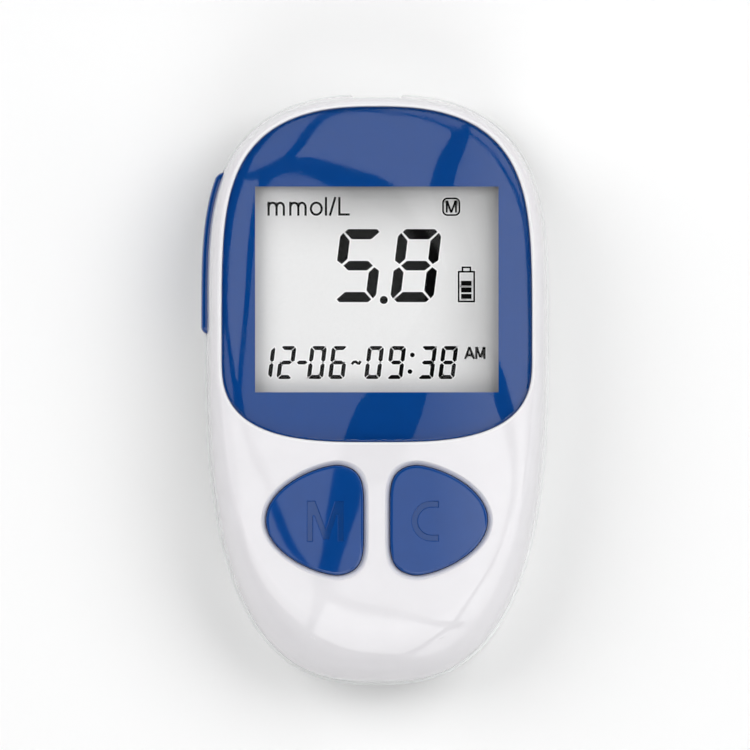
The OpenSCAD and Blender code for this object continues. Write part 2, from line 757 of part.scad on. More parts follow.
module ejector_key() color("royalblue") {
    side_band(key_start, key_end, -key_flange_out - 0.2, key_proud, key_round,
        key_z - key_h / 2, key_z + key_h / 2);
    side_band(key_start - 0.9, key_end + 0.9, -key_flange_in, -key_flange_out, 0,
        key_z - key_h / 2 - key_flange_lip, key_z + key_h / 2 + key_flange_lip);
    box([-half_at(leg_y, -key_flange_in) - 0.5, leg_y - leg_w / 2, crank_under + seat_gap],
        [leg_end, leg_y + leg_w / 2, crank_top - seat_gap]);
    translate([spring_start - root, spring_y, key_z]) rotate([0, 90, 0])
        cylinder(r = spigot_r, h = root + 0.9);
}

module ejector_crank() color("white") translate([pivot[0], pivot[1], crank_under]) {
    difference() {
        union() {
            cylinder(r = crank_hub_r, h = crank_t);
            rotate(-crank_rest) {
                box([0, -crank_w / 2, 0], [crank_long, crank_w / 2, crank_t]);
                translate([crank_long, 0, 0]) cylinder(r = crank_w / 2, h = crank_t);
                translate([crank_long, 0, 0])
                    cylinder(r = crank_pin_r, h = pusher_under + pusher_t - crank_under);
                box([-0.9, -crank_short, 0], [0.9, 0, crank_t]);
                translate([0, -crank_short, 0]) cylinder(r = crank_boss_r, h = crank_t);
            }
        }
        translate([0, 0, -cut]) cylinder(r = pivot_d / 2 + pivot_play, h = crank_t + 2 * cut);
    }
}

module ejector_pivot_pin() color("silver") translate([pivot[0], pivot[1], 0]) {
    translate([0, 0, crank_under - pin_root]) cylinder(d = pivot_d, h = pin_root + crank_t + seat_gap);
    translate([0, 0, crank_top + seat_gap]) cylinder(r = pin_head_r, h = pin_head_t);
}

module ejector_spring() color("gray") {
    translate([spring_start + 0.02, spring_y, key_z]) rotate([0, 90, 0])
        coil(return_spring_l - 0.04, spring_r, spring_r, spring_wire, 4);
}

// Battery -------------------------------------------------------------------------------------------------

// A cell with its positive end towards +Y when way is 1 and towards -Y when it is -1
module cell(x, y0, way) translate([x, y0 + cell_l / 2, cell_z]) rotate([-90 * way, 0, 0]) {
    translate([0, 0, -cell_l / 2]) cylinder(d = cell_d, h = cell_l - nub_l);
    translate([0, 0, cell_l / 2 - nub_l]) cylinder(r = 1.9, h = nub_l);
}

module left_cell() color("orange") cell(-cell_x, bay_end - plate_t - cell_l, 1);
module right_cell() color("orange") cell(cell_x, bay_start + plate_t, -1);

module contact_plate(x0, x1, y) box([x0, y, cell_z - plate_w / 2], [x1, y + plate_t, cell_z + plate_w / 2]);

// A tapered contact spring from the plate at y, towards +Y when way is 1
module contact_spring(x, y, way) translate([x, y, cell_z]) rotate([-90 * way, 0, 0])
    coil(cell_spring_l - 0.05, 3.3, 2.2, contact_wire, 3);

module cell_link_contact() color("silver") {
    contact_plate(-cell_x - plate_w / 2, cell_x + plate_w / 2, bay_start);
    contact_spring(-cell_x, bay_start + plate_t - contact_wire / 2, 1);
}

module cell_positive_contact() color("silver") {
    contact_plate(-cell_x - plate_w / 2, -cell_x + plate_w / 2, bay_end - plate_t);
}

module cell_negative_contact() color("silver") {
    contact_plate(cell_x - plate_w / 2, cell_x + plate_w / 2, bay_end - plate_t);
    contact_spring(cell_x, bay_end - plate_t + contact_wire / 2, -1);
}

module battery_door() color("gainsboro") {
    lip_top = door_under + door_lip;
    box([-bay_half - door_step + door_gap, door_foot + door_gap, door_under],
        [bay_half + door_step - door_gap, bay_end - door_gap, lip_top]);
    box([-clip_w / 2, clip_in, door_under], [clip_w / 2, door_foot + door_gap + 0.2, lip_top]);
    box([-bay_half + door_gap, bay_start + door_gap, lip_top - 0.1],
        [bay_half - door_gap, bay_end - door_gap, floor_t]);
    for (h = hooks) {
        box([h[0], bay_end - hook_root, lip_top], [h[0] + h[1], bay_end - door_gap, hook_under + hook_t]);
        box([h[0], bay_end - hook_root, hook_under], [h[0] + h[1], bay_end + hook_reach, hook_under + hook_t]);
    }
}

// The sprung clip at the door's foot: a narrow hoop with a catch that hooks over the rear case's floor
module battery_door_clip() color("gainsboro") {
    x = clip_w / 2;
    lip_top = door_under + door_lip;
    box([-x, clip_in, lip_top], [x, clip_in + clip_t, clip_h]);
    box([-x, clip_out, clip_h - clip_t], [x, clip_in + clip_t, clip_h]);
    box([-x, clip_out, door_under + 0.2], [x, clip_out + clip_t, clip_h]);
    box([-x, clip_mouth - catch_reach, hook_under], [x, clip_out + clip_t / 2, hook_under + hook_t]);
}

front_case();
rear_case();
display_lens();
lens_mask();
lens_adhesive();
memory_button();
confirm_button();
memory_dome();
confirm_dome();
lcd_panel();
lcd_holder();
zebra_connector();
main_board();
microcontroller();
amplifier_chip();
crystal();
buzzer();
board_components();
board_screws();
strip_connector();
strip_contacts();
strip_pusher();
ejector_key();
ejector_crank();
ejector_pivot_pin();
ejector_spring();
left_cell();
right_cell();
cell_link_contact();
cell_positive_contact();
cell_negative_contact();
battery_door();
battery_door_clip();
case_screws();
rear_label();
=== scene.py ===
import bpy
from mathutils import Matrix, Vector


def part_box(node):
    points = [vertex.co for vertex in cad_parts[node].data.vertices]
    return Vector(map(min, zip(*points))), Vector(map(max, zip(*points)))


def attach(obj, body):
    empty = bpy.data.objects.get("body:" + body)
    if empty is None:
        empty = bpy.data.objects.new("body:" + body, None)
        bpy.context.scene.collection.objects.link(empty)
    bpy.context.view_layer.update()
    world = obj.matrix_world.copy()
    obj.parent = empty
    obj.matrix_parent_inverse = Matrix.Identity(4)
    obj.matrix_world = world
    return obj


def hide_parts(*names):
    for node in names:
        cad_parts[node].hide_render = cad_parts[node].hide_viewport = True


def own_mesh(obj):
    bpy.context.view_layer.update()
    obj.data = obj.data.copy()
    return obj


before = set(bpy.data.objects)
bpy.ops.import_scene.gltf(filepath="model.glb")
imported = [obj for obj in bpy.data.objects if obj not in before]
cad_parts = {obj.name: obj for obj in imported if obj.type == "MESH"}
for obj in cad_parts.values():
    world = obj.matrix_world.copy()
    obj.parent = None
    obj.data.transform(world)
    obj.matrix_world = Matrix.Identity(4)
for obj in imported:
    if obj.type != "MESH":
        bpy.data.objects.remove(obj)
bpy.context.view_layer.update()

# A hand-held blood glucose meter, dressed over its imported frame. Sizes are in millimetres, and become metres
# where a mesh, a material or the camera is made. Those of the floor, dark ceiling and lamps are in metres.
import math

import bmesh
import bpy
import numpy as np
from mathutils import Vector
from mathutils.geometry import delaunay_2d_cdt

MM = 0.001
SIDES = 360         # points round the case and the window panel
BUTTON_SIDES = 160
PITCH = 0.9         # spacing of the mesh points inside a smooth face
ROW = 0.866         # and of their rows, as a share of it


def span(node):
    """Lowest and highest corner of a CAD node."""
    low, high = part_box(node)
    return np.array(low) / MM, np.array(high) / MM


# Sizes, of the frame and of what only the looks have --------------------------------------------------------

panel_low, panel_high = span("display_lens")
GLASS_TOP = span("lcd_panel")[1][2]
BOARD_TOP = span("main_board")[1][2]
BODY_HALF, BODY_END = span("rear_case")[1][:2]
CROWN_HALF = 28.0      # half width that the crown of the front face is measured over
BODY_T = 20.0
SPLIT = 9.0
WALL = 1.6
RIM_STEP = 0.45        # the lower half's rim shows this much beyond the upper half, at the most
EDGE_RUN = 2.4
EDGE_RUN_TOP = 1.6
EDGE_RUN_BOTTOM = 9.0
EDGE_RUN_BACK = 5.5
CROWN_SIDE = 0.9
CROWN_TOP = 0.7
CROWN_BOTTOM = 1.8
WALL_IN = RIM_STEP + WALL

# An outline is two half superellipses that share their widest line: half width, y of the widest line, length
# above and below it, x and y powers above, x and y powers below
WIDE_Y = 10.4
BODY_EGG = (BODY_HALF, WIDE_Y, BODY_END - WIDE_Y, BODY_END + WIDE_Y, 2.56, 3.52, 2.67, 2.93)
PANEL_WIDE_Y = 5.0
PANEL_EGG = (panel_high[0], PANEL_WIDE_Y, panel_high[1] - PANEL_WIDE_Y - 0.2, PANEL_WIDE_Y - panel_low[1],
             2.56, 4.7, 3.17, 2.76)
BUTTON_EGG = (8.85, 0.0, 11.3, 4.42, 2.0, 1.45, 5.2, 2.0)
BUTTON_X = 6.6
BUTTON_Y = -21.15

PANEL_UNDER = panel_low[2]
PANEL_EDGE = 0.35
PANEL_DROP = 0.3
PANEL_GAP = 0.12
MASK_T = 0.1
LEDGE_TOP = PANEL_UNDER - 0.3
CEILING = 16.9
LEDGE_PLAY = 0.7
VIEW_HALF = 19.7
VIEW_START = -0.45
VIEW_END = 32.85

LIP_W = 0.44        # edge of the window's seat, painted lighter as a painted highlight
LIP_ROUND = 0.32
LIP_MARGIN = 0.08
DEEPEST = -12.0     # the seat is looked for from here out to the parting line

BUTTON_GAP = 0.12
BUTTON_EDGE = 0.5
BUTTON_DROP = 0.35
BUTTON_PROUD = 0.35
BEVEL_W = 0.85
BEVEL_DROP = 0.75
FLANGE = 0.9
FLANGE_TOP = CEILING - 0.1
POST_X = 8.0
POST_R = 1.5
POST_CLEARANCE = 0.68  # from the board to the foot of a button's post
LETTER_DEPTH = 0.16
LETTER_DRAFT = 0.12

NOTCH_HALF = 3.9       # the strip port's notch and slot
NOTCH_MOUTH_HALF = 4.65
NOTCH_DEPTH = 0.65
SLOT_HALF = 4.0
SLOT_START = 43.5
SLOT_LOW = 10.8
SLOT_HIGH = 12.3

BAY_HALF = 11.4
BAY_START = -31.5
BAY_END = 18.9
BAY_WALL = 1.2
BAY_TOP = 12.4
DOOR_STEP = 1.6
DOOR_GAP = 0.15
DOOR_FOOT = -33.4
DOOR_UNDER = 0.15
DOOR_LIP_TOP = 1.0
DOOR_SEAT_TOP = 1.05
TONGUE = (4.0, -34.1, -33.05)       # half width, and Y where the door's tongue starts and ends
MOUTH = (4.4, -38.2, -32.8, 2.6)    # the same for the opening in the case beside it, and its top
# Left, lower, right and upper side and corner radius
DOOR_PLATE = (-BAY_HALF - DOOR_STEP, DOOR_FOOT, BAY_HALF + DOOR_STEP, BAY_END, 1.6)
HOOKS = ((-1.3, 2.6), (9.9, 1.3), (-11.2, 1.3))     # X where each hook starts, and its width
HOOK_TOP = 2.55
HOOK_TIP_UNDER = 1.75
HOOK_ROOT = BAY_END - 0.95
HOOK_REACH = BAY_END + 1.3
LABEL = (-12, 24.5, 12, 35.5, 1.0)
LABEL_TOP = 0.15
CASE_SCREWS = [(13.54, 38.2), (16.45, -31.5)]
BOARD_SCREWS = [(8.8, 40.4), (19.57, -7.5), (9.7, -38.5)]
CASE_BOSS_R = 2.5
BOARD_BOSS_R = 1.9
POST_OUTER_R = 3.1
POST_TOP = 8.9
HOLE_R = 1.04
PIVOT = (-12, 27.5)    # of the crank
CRANK_POST_R = 2.5
CRANK_POST_TOP = 9.2
SPRING_WALL_X = (-19.55, -18.35)
SPRING_WALL_TOP = 11.4

KEY_Z = 8.9
KEY_H = 5.8
KEY_START = 8.95
KEY_END = 35.35
KEY_PROUD = 0.62
KEY_ROUND = 0.8
KEY_CORNER = 1.2
KEY_SECTION = 0.55     # power of the cap's section: 1 is round, and less is squarer
KEY_INNER = -2.65      # the cap's and the flange's faces, measured out from the case's outline
FLANGE_OUTER = -2.45
FLANGE_INNER = -3.25
FLANGE_HALF = 3.5
KEY_HOLE_X = (-40.0, -22.05)
LEG_Y = 23.935
SPRING_Y = 13.95
LEG_SIDES = (-1.2, 1.1)
LEG_LOW = 8.9
LEG_HIGH = 10.0
LEG_END = -13.8
SPIGOT_R = 1.0

CELL_X = 5.65
CELL_Z = 7.3
CELL_R = 5.25
CELL_L = 44.5
# A cell's outline from its negative end, as radius and distance
NEGATIVE_END = [(0, 0.12), (3.6, 0.12), (3.75, 0.0), (4.6, 0.0), (4.85, 0.12), (4.95, 0.4), (4.95, 0.75),
                (5.05, 0.85)]
SLEEVE = [(CELL_R, 1.0), (CELL_R, 12.5), (CELL_R, 12.51), (CELL_R, 42.7)]
POSITIVE_END = [(5.1, 42.95), (4.9, 43.0), (4.75, 43.1), (4.6, 43.45), (4.3, 43.6), (2.1, 43.65), (1.9, 43.8),
                (1.9, 44.3), (1.7, 44.48), (0, CELL_L)]
PLATE_T = 0.3          # battery contacts
PLATE_HALF = 4.2
LEFT_CELL_Y = -25.9    # where the cells' negative ends lie
RIGHT_CELL_Y = 13.3
WIRE_R = 0.25
CONE_SPRING = (5.25, 3.3, 2.2, WIRE_R, 4)    # length, radius at each end, wire radius and turns
SPRING_R = 1.6
SPRING_TURNS = 5


# Outlines -------------------------------------------------------------------------------------------------

def sides_of(outline, up, grow):
    """Half width, widest line, reach and x and y powers, for points above that line (up) or below it."""
    half, wide_y, above, below, p_up, q_up, p_down, q_down = outline
    reach = np.where(up, above, below) + grow
    return half + grow, wide_y, reach, np.where(up, p_up, p_down), np.where(up, q_up, q_down)


def egg(outline, t, grow=0.0):
    """The outline's points at the angles t, with both half axes longer by grow."""
    half, wide_y, reach, p, q = sides_of(outline, np.sin(t) >= 0, grow)
    x = half * np.sign(np.cos(t)) * np.abs(np.cos(t)) ** (2 / p)
    y = reach * np.sign(np.sin(t)) * np.abs(np.sin(t)) ** (2 / q)
    return np.stack([x, wide_y + y], 1)


def even_angles(outline, count):
    """Angles whose points lie evenly along the outline."""
    dense = np.linspace(0, 2 * math.pi, count * 60 + 1)
    line = egg(outline, dense)
    along = np.concatenate([[0], np.cumsum(np.linalg.norm(np.diff(line, axis=0), axis=1))])
    return np.interp(np.arange(count) * along[-1] / count, along, dense)


def fullness(outline, x, y, grow=0.0):
    """Below 1 inside the outline, 1 on it and above 1 outside."""
    half, wide_y, reach, p, q = sides_of(outline, y >= outline[1], grow)
    return (np.abs(x) / half) ** p + (np.abs(y - wide_y) / reach) ** q


def button_line(side, t, grow=0.0):
    """A button's outline: side is 1 for the right one and -1 for the left one."""
    p = egg(BUTTON_EGG, t, grow)
    return np.stack([side * (BUTTON_X + p[:, 1]), BUTTON_Y - side * p[:, 0]], 1)


def button_fullness(side, x, y, grow=0.0):
    return fullness(BUTTON_EGG, side * (BUTTON_Y - y), side * x - BUTTON_X, grow)


def half_at(y, grow=0.0):
    """Half width of the case's outline at y."""
    half, wide_y, reach, p, q = sides_of(BODY_EGG, y >= WIDE_Y, grow)
    return half * (1 - (np.abs(y - wide_y) / reach) ** q) ** (1 / p)


def crown(x, y):
    """Height of the front face, before its edge is rounded."""
    drop = np.where(y > 0, CROWN_TOP, CROWN_BOTTOM) * (y / BODY_END) ** 2
    return BODY_T - CROWN_SIDE * (x / CROWN_HALF) ** 2 - drop


def rise(u):
    """A quarter circle's height: 0 at u = 0 and 1 from u = 1 on."""
    return np.sqrt(1 - (1 - np.minimum(u, 1)) ** 2)


def quarter_turn(count):
    return np.linspace(0, math.pi / 2, count)


def round_angles(count):
    return np.arange(count) * 2 * math.pi / count


def least_past(low, high, passes, past):
    """The least grow between low and high for which past is true, found by halving."""
    for _ in range(passes):
        middle = (low + high) / 2
        found = past(middle)
        high = np.where(found, middle, high)
        low = np.where(found, low, middle)
    return high


def rim_at(t):
    """How far the upper half stands in from the lower one: less at the top end than at the foot."""
    return RIM_STEP - 0.1 - 0.1 * np.tanh(4 * np.sin(t))


def plain_run(t):
    """Width of the front edge's rounding, where nothing is in its way."""
    end = np.where(np.sin(t) >= 0, EDGE_RUN_TOP, EDGE_RUN_BOTTOM)
    return EDGE_RUN + (end - EDGE_RUN) * np.sin(t) ** 2


def room_beside_panel(t):
    """How far in from the parting line the edge of the window's seat, with its painted highlight, lies."""
    def clear_of_seat(grow):
        line = egg(BODY_EGG, t, grow)
        return fullness(PANEL_EGG, line[:, 0], line[:, 1], PANEL_GAP + LIP_W + LIP_MARGIN) > 1

    return -rim_at(t) - least_past(np.full(len(t), DEEPEST), -rim_at(t), 30, clear_of_seat)


RUN_ANGLES = np.linspace(-math.pi, math.pi, 1441)
RUNS = (plain_run(RUN_ANGLES) ** -8 + room_beside_panel(RUN_ANGLES) ** -8) ** (-1 / 8)


def run_at(t):
    return np.interp((t + math.pi) % (2 * math.pi) - math.pi, RUN_ANGLES, RUNS)


def edge_depth(x, y):
    """How far across the front edge's rounding a point lies: 0 at the parting line and 1 on top."""
    low = np.full(np.shape(x), -BODY_HALF + 0.5)
    high = np.full(np.shape(x), 2.0)
    grow = least_past(low, high, 36, lambda middle: fullness(BODY_EGG, x, y, middle) < 1)
    up = y >= WIDE_Y
    half, wide_y, reach, p, q = sides_of(BODY_EGG, up, grow)
    cosine = (np.abs(x) / half) ** (p / 2)
    sine = (np.abs(y - wide_y) / reach) ** (q / 2)
    t = np.arctan2(np.where(up, sine, -sine), np.sign(x) * cosine)
    return (-rim_at(t) - grow) / run_at(t)


def edge_share(x, y):
    return np.clip(edge_depth(x, y), 0, 1)


def skin(x, y):
    """Height of the front case's outside."""
    return SPLIT + (crown(x, y) - SPLIT) * rise(edge_share(x, y))


def rectangle(x0, y0, x1, y1, step=2.0):
    """A rectangle's points, about step apart, from its lower left corner and round to the left."""
    return densed(np.array([(x0, y0), (x1, y0), (x1, y1), (x0, y1)], float), step)


def rounded_rectangle(x0, y0, x1, y1, radius, grow=0.0, steps=10):
    """A rectangle with round corners, with each side moved out by grow."""
    corners = [(x1 - radius, y1 - radius), (x0 + radius, y1 - radius),
               (x0 + radius, y0 + radius), (x1 - radius, y0 + radius)]
    line = []
    for k, (cx, cy) in enumerate(corners):
        for i in range(steps + 1):
            a = math.pi / 2 * (k + i / steps)
            line.append((cx + (radius + grow) * math.cos(a), cy + (radius + grow) * math.sin(a)))
    return np.array(line)


def circle(x, y, radius, count=48):
    t = round_angles(count)
    return np.stack([x + radius * np.cos(t), y + radius * np.sin(t)], 1)


def unit(rows):
    return rows / np.linalg.norm(rows, axis=1)[:, None]


def left_of(steps):
    """Unit vectors to the left of steps."""
    ahead = unit(steps)
    return np.stack([-ahead[:, 1], ahead[:, 0]], 1)


def mitred(one, other):
    """How far a corner moves when both of its sides, whose left is one and other, move to the left by 1."""
    middle = one + other
    return middle / (middle * one).sum(1)[:, None]


def inside_line(line, x, y):
    """Whether points lie inside a closed line."""
    found = np.zeros(np.shape(x), bool)
    for (ax, ay), (bx, by) in zip(line, np.roll(line, -1, 0)):
        crosses = (ay > y) != (by > y)
        found ^= crosses & (x < (bx - ax) * (y - ay) / (by - ay + 1e-12) + ax)
    return found


def densed(corners, step):
    """A closed line with its straight stretches cut into steps."""
    line = []
    for a, b in zip(corners, np.roll(corners, -1, 0)):
        count = max(1, round(float(np.linalg.norm(b - a)) / step))
        line += [a + (b - a) * i / count for i in range(count)]
    return np.array(line)


def inset(line, distance):
    """A closed line moved to its left by distance, with mitred corners and as many points."""
    left = left_of(np.roll(line, -1, 0) - line)
    return line + mitred(left, np.roll(left, 1, 0)) * distance


def view_line(play=0.0):
    """The display's clear opening, larger by play all round."""
    return rectangle(-VIEW_HALF - play, VIEW_START - play, VIEW_HALF + play, VIEW_END + play)


def beside_view(x, y, play=0.0):
    """Whether points lie outside that opening."""
    return (np.abs(x) > VIEW_HALF + play) | (y < VIEW_START - play) | (y > VIEW_END + play)


# Meshes ---------------------------------------------------------------------------------------------------

class Shell:
    """Collects a mesh in millimetres, as rings of points and the faces between them."""

    def __init__(self):
        self.points = []
        self.faces = []
        self.kinds = []

    def ring(self, line, z):
        heights = np.broadcast_to(np.asarray(z, float), (len(line),))
        return self.ring3((x, y, h) for (x, y), h in zip(line, heights))

    def over(self, line, surface, drop=0.0):
        """A ring on a height field, or lower by drop."""
        return self.ring(line, surface(line[:, 0], line[:, 1]) - drop)

    def ring3(self, line):
        start = len(self.points)
        self.points.extend(tuple(map(float, p)) for p in line)
        return np.arange(start, len(self.points))

    def add(self, faces, kind=0):
        faces = [tuple(int(i) for i in f) for f in faces]
        self.faces += faces
        self.kinds += [kind] * len(faces)

    def bridge(self, rings, kind=0):
        for a, b in zip(rings, rings[1:]):
            self.add(zip(a, np.roll(a, -1), np.roll(b, -1), b), kind)

    def cap(self, ring, kind=0, inner=0.96):
        """Closes a ring with a narrow band and a fan, so that the shading of its edge stays at its edge."""
        line = np.array([self.points[i] for i in ring])
        middle = line.mean(0)
        small = self.ring3(middle + (line - middle) * inner)
        self.bridge([ring, small], kind)
        self.fan(small, self.ring3([middle])[0], kind)

    def fan(self, ring, centre, kind=0):
        self.add(zip(ring, np.roll(ring, -1), [centre] * len(ring)), kind)

    def fill(self, loops, inside, height=None, pitch=None, margin=0.45, kind=0):
        """Triangles over the region that inside names, between loops of points that are there already."""
        ids = [int(i) for loop in loops for i in loop]
        flat = [self.points[i][:2] for i in ids]
        edges = []
        start = 0
        for loop in loops:
            edges += [(start + i, start + (i + 1) % len(loop)) for i in range(len(loop))]
            start += len(loop)
        if pitch:
            low = np.min(flat, 0)
            high = np.max(flat, 0)
            rows = int((high[1] - low[1]) / pitch / ROW) + 1
            columns = int((high[0] - low[0]) / pitch) + 2
            grid = np.array([(low[0] + (i + j % 2 / 2) * pitch, low[1] + j * pitch * ROW)
                             for j in range(rows) for i in range(columns)])
            grid = grid[inside(grid[:, 0], grid[:, 1], margin)]
            ids += [int(i) for i in self.ring(grid, height(grid[:, 0], grid[:, 1]))]
            flat += [tuple(p) for p in grid]
        corners, _, faces, origins, _, _ = delaunay_2d_cdt([Vector(p) for p in flat], edges, [], 0, 1e-6)
        level = self.points[ids[0]][2]
        named = []
        for corner, origin in zip(corners, origins):
            if not origin:
                self.points.append((corner[0], corner[1], level))
            named.append(ids[origin[0]] if origin else len(self.points) - 1)
        places = np.array([tuple(c) for c in corners])
        middles = np.array([places[list(f)].mean(0) for f in faces])
        kept = inside(middles[:, 0], middles[:, 1], 0.0)
        self.add([[named[i] for i in f] for f, keep in zip(faces, kept) if keep], kind)

    def mesh(self, name):
        data = bpy.data.meshes.new(name)
        data.from_pydata([tuple(c * MM for c in p) for p in self.points], [], self.faces)
        data.polygons.foreach_set("material_index", self.kinds)
        tidy(data)
        return data


def tidy(data):
    """Joins points that lie together, drops faces without area and turns all faces outwards."""
    work = bmesh.new()
    work.from_mesh(data)
    bmesh.ops.remove_doubles(work, verts=work.verts, dist=1e-7)
    bmesh.ops.dissolve_degenerate(work, edges=work.edges, dist=1e-8)
    bmesh.ops.recalc_face_normals(work, faces=work.faces)
    work.to_mesh(data)
    work.free()


def slope(surface, x, y, step=0.01):
    """How much a height field climbs along X and along Y."""
    along_x = surface(x + step, y) - surface(x - step, y)
    along_y = surface(x, y + step) - surface(x, y - step)
    return np.stack([along_x, along_y], 1) / step / 2


def skin_slope(x, y):
    """The same for the front case's outside, up to its steep foot."""
    share = np.clip(edge_depth(x, y), 0.0003, 1)
    left = 1 - share
    steep = (crown(x, y) - SPLIT) * left / np.sqrt(1 - left ** 2)
    return slope(crown, x, y) * rise(share)[:, None] + steep[:, None] * slope(edge_depth, x, y)


def slopes(surface, x, y):
    """Normals of a height field."""
    climb = skin_slope(x, y) if surface is skin else slope(surface, x, y)
    return unit(np.hstack([-climb, np.ones((len(x), 1))]))


def values(items, name, width=1, kind=float):
    """One property of every item, as rows of width numbers."""
    found = np.zeros(len(items) * width, kind)
    items.foreach_get(name, found)
    return found.reshape(-1, width) if width > 1 else found


LEAST_RISE = 0.3    # a surface's normal rises at least so much where smooth_over sets it


def smooth_over(data, surface, near=0.004, alike=0.85):
    """Gives the corners that lie on a height field its own normals, so that reflections have clean edges."""
    x, y, z = values(data.vertices, "co", 3).T / MM
    counts = values(data.polygons, "loop_total", kind=int)
    corner = values(data.loops, "vertex_index", kind=int)
    facing = np.repeat(values(data.polygons, "normal", 3), counts, 0)
    normal = slopes(surface, x, y)[corner]
    height = surface(x, y) - z
    close = (np.abs(height) < near) | (np.abs(height - LETTER_DEPTH) < near)
    kept = close[corner] & ((facing * normal).sum(1) > alike) & (normal[:, 2] > LEAST_RISE)
    data.normals_split_custom_set(np.where(kept[:, None], normal, 0.0).tolist())


def linked(name, data):
    """A new object in the scene."""
    thing = bpy.data.objects.new(name, data)
    bpy.context.scene.collection.objects.link(thing)
    return thing


def place(data, name, body, materials, replaces=(), sharp=35.0, surface=None):
    """Makes a mesh into a piece of the object."""
    piece = linked(name, data)
    for material in materials:
        data.materials.append(material)
    data.polygons.foreach_set("use_smooth", [True] * len(data.polygons))
    data.set_sharp_from_angle(angle=math.radians(sharp))
    if surface:
        smooth_over(data, surface)
    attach(piece, body)
    if replaces:
        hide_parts(*replaces)
    return piece


def solid(levels, line_at):
    """A closed shell through levels of (grow, z), where line_at gives the outline for a grow."""
    shell = Shell()
    rings = [shell.ring(line_at(grow), z) for grow, z in levels]
    shell.bridge(rings)
    shell.cap(rings[0])
    shell.cap(rings[-1])
    return shell


def prism(line, z0, z1):
    return solid([(0, z0), (0, z1)], lambda grow: line)


def cuboid(low, high):
    return prism(rectangle(low[0], low[1], high[0], high[1], 1000), low[2], high[2])


def turned(profile, at=(0, 0, 0), axis="z", sides=48):
    """A closed solid of revolution through (radius, height) points, which start and end on its axis."""
    shell = Shell()
    order = {"z": (0, 1, 2), "y": (0, 2, 1), "x": (2, 1, 0)}[axis]
    rings = []
    for radius, height in profile:
        line = np.column_stack([circle(0, 0, radius, sides), np.full(sides, float(height))])
        rings.append(shell.ring3(np.array(at) + line[:, order]))
    shell.bridge(rings)
    return shell


def rod(radius, low, high, at, axis="z", sides=48):
    """A plain cylinder from low to high along an axis through at."""
    return turned([(0, low), (radius, low), (radius, high), (0, high)], at, axis, sides)


def rods(places, radius, low, high):
    """Upright cylinders at places on the right and their mirror images."""
    return [rod(radius, low, high, (x, y, 0)) for x, y in each_side(places)]


def joined(shells):
    """One shell that holds several."""
    whole = Shell()
    for shell in shells:
        start = len(whole.points)
        whole.points += shell.points
        whole.faces += [tuple(i + start for i in f) for f in shell.faces]
        whole.kinds += shell.kinds
    return whole


def carved(data, shells, operation="DIFFERENCE"):
    """The mesh with shells cut out of it, or joined to it. The shells don't touch each other."""
    cutter = linked("cutter", joined(shells).mesh("cutter"))
    holder = linked("holder", data)
    change = holder.modifiers.new("carve", "BOOLEAN")
    change.operation = operation
    change.object = cutter
    change.solver = "EXACT"
    result = bpy.data.meshes.new_from_object(holder.evaluated_get(bpy.context.evaluated_depsgraph_get()))
    bpy.data.objects.remove(cutter)
    bpy.data.objects.remove(holder)
    return result


def each_side(points):
    return [(side * x, y) for x, y in points for side in (1, -1)]


def swept(path, radius, sides=10):
    """A closed round wire along a path."""
    shell = Shell()
    path = np.array(path, float)
    ahead = unit(np.gradient(path, axis=0))
    across = np.cross(ahead[0], [0.3, 0.9, 0.2])
    t = round_angles(sides)
    rings = []
    for point, way in zip(path, ahead):
        across -= way * across.dot(way)
        across /= np.linalg.norm(across)
        other = np.cross(way, across)
        wire = np.cos(t)[:, None] * across + np.sin(t)[:, None] * other
        rings.append(shell.ring3(point + radius * wire))
    shell.bridge(rings)
    shell.cap(rings[0], inner=0.5)
    shell.cap(rings[-1], inner=0.5)
    return shell


# Materials ------------------------------------------------------------------------------------------------

def blank_material(name):
    material = bpy.data.materials.new(name)
    material.use_nodes = True
    material.node_tree.nodes.clear()
    return material, material.node_tree


def node_of(tree, kind, inputs=None, **settings):
    """A new node. Each of its inputs is linked to a given socket or set to a given value."""
    node = tree.nodes.new("ShaderNode" + kind)
    for name, setting in settings.items():
        setattr(node, name, setting)
    for name, value in (inputs or {}).items():
        if isinstance(value, bpy.types.NodeSocket):
            tree.links.new(value, node.inputs[name])
        else:
            node.inputs[name].default_value = value
    return node


def noise_node(tree, size, detail=2.0, stretch=(1, 1, 1)):
    """Noise whose features are about size millimetres wide."""
    where = node_of(tree, "TexCoord").outputs["Object"]
    mapping = node_of(tree, "Mapping", {"Vector": where, "Scale": stretch})
    inputs = {"Vector": mapping.outputs["Vector"], "Scale": 1 / (size * MM), "Detail": detail}
    return node_of(tree, "TexNoise", inputs).outputs["Fac"]


def grain_normal(tree, size, depth, detail=2.0, stretch=(1, 1, 1)):
    """The normal of a surface with a grain of depth millimetres."""
    height = noise_node(tree, size, detail, stretch)
    return node_of(tree, "Bump", {"Distance": depth * MM, "Height": height}).outputs["Normal"]


def ranged(tree, value, low, high):
    """Noise, which mostly lies between 0.3 and 0.7, spread from low to high."""
    inputs = {"Value": value, "From Min": 0.3, "From Max": 0.7, "To Min": low, "To Max": high}
    return node_of(tree, "MapRange", inputs).outputs["Result"]


def blended(tree, share, first, second):
    """A colour between two, each of which is a socket or four numbers."""
    inputs = {"Factor": share, "A": first, "B": second}
    return node_of(tree, "Mix", inputs, data_type="RGBA").outputs["Result"]


def calc(tree, operation, first, second=0.0, third=0.0, clamp=False):
    """One step of arithmetic with sockets and numbers."""
    inputs = dict(enumerate((first, second, third)))
    return node_of(tree, "Math", inputs, operation=operation, use_clamp=clamp).outputs[0]


def place_of(tree, space="Object"):
    """X, Y and Z of a point, or of a ray's direction in the world."""
    where = node_of(tree, "TexCoord").outputs[space]
    return node_of(tree, "SeparateXYZ", {0: where}).outputs


def ramp(tree, value, start, end):
    """0 at start and 1 at end, which are in millimetres, and level beyond them."""
    return calc(tree, "MULTIPLY_ADD", value, 1 / ((end - start) * MM), -start / (end - start), True)


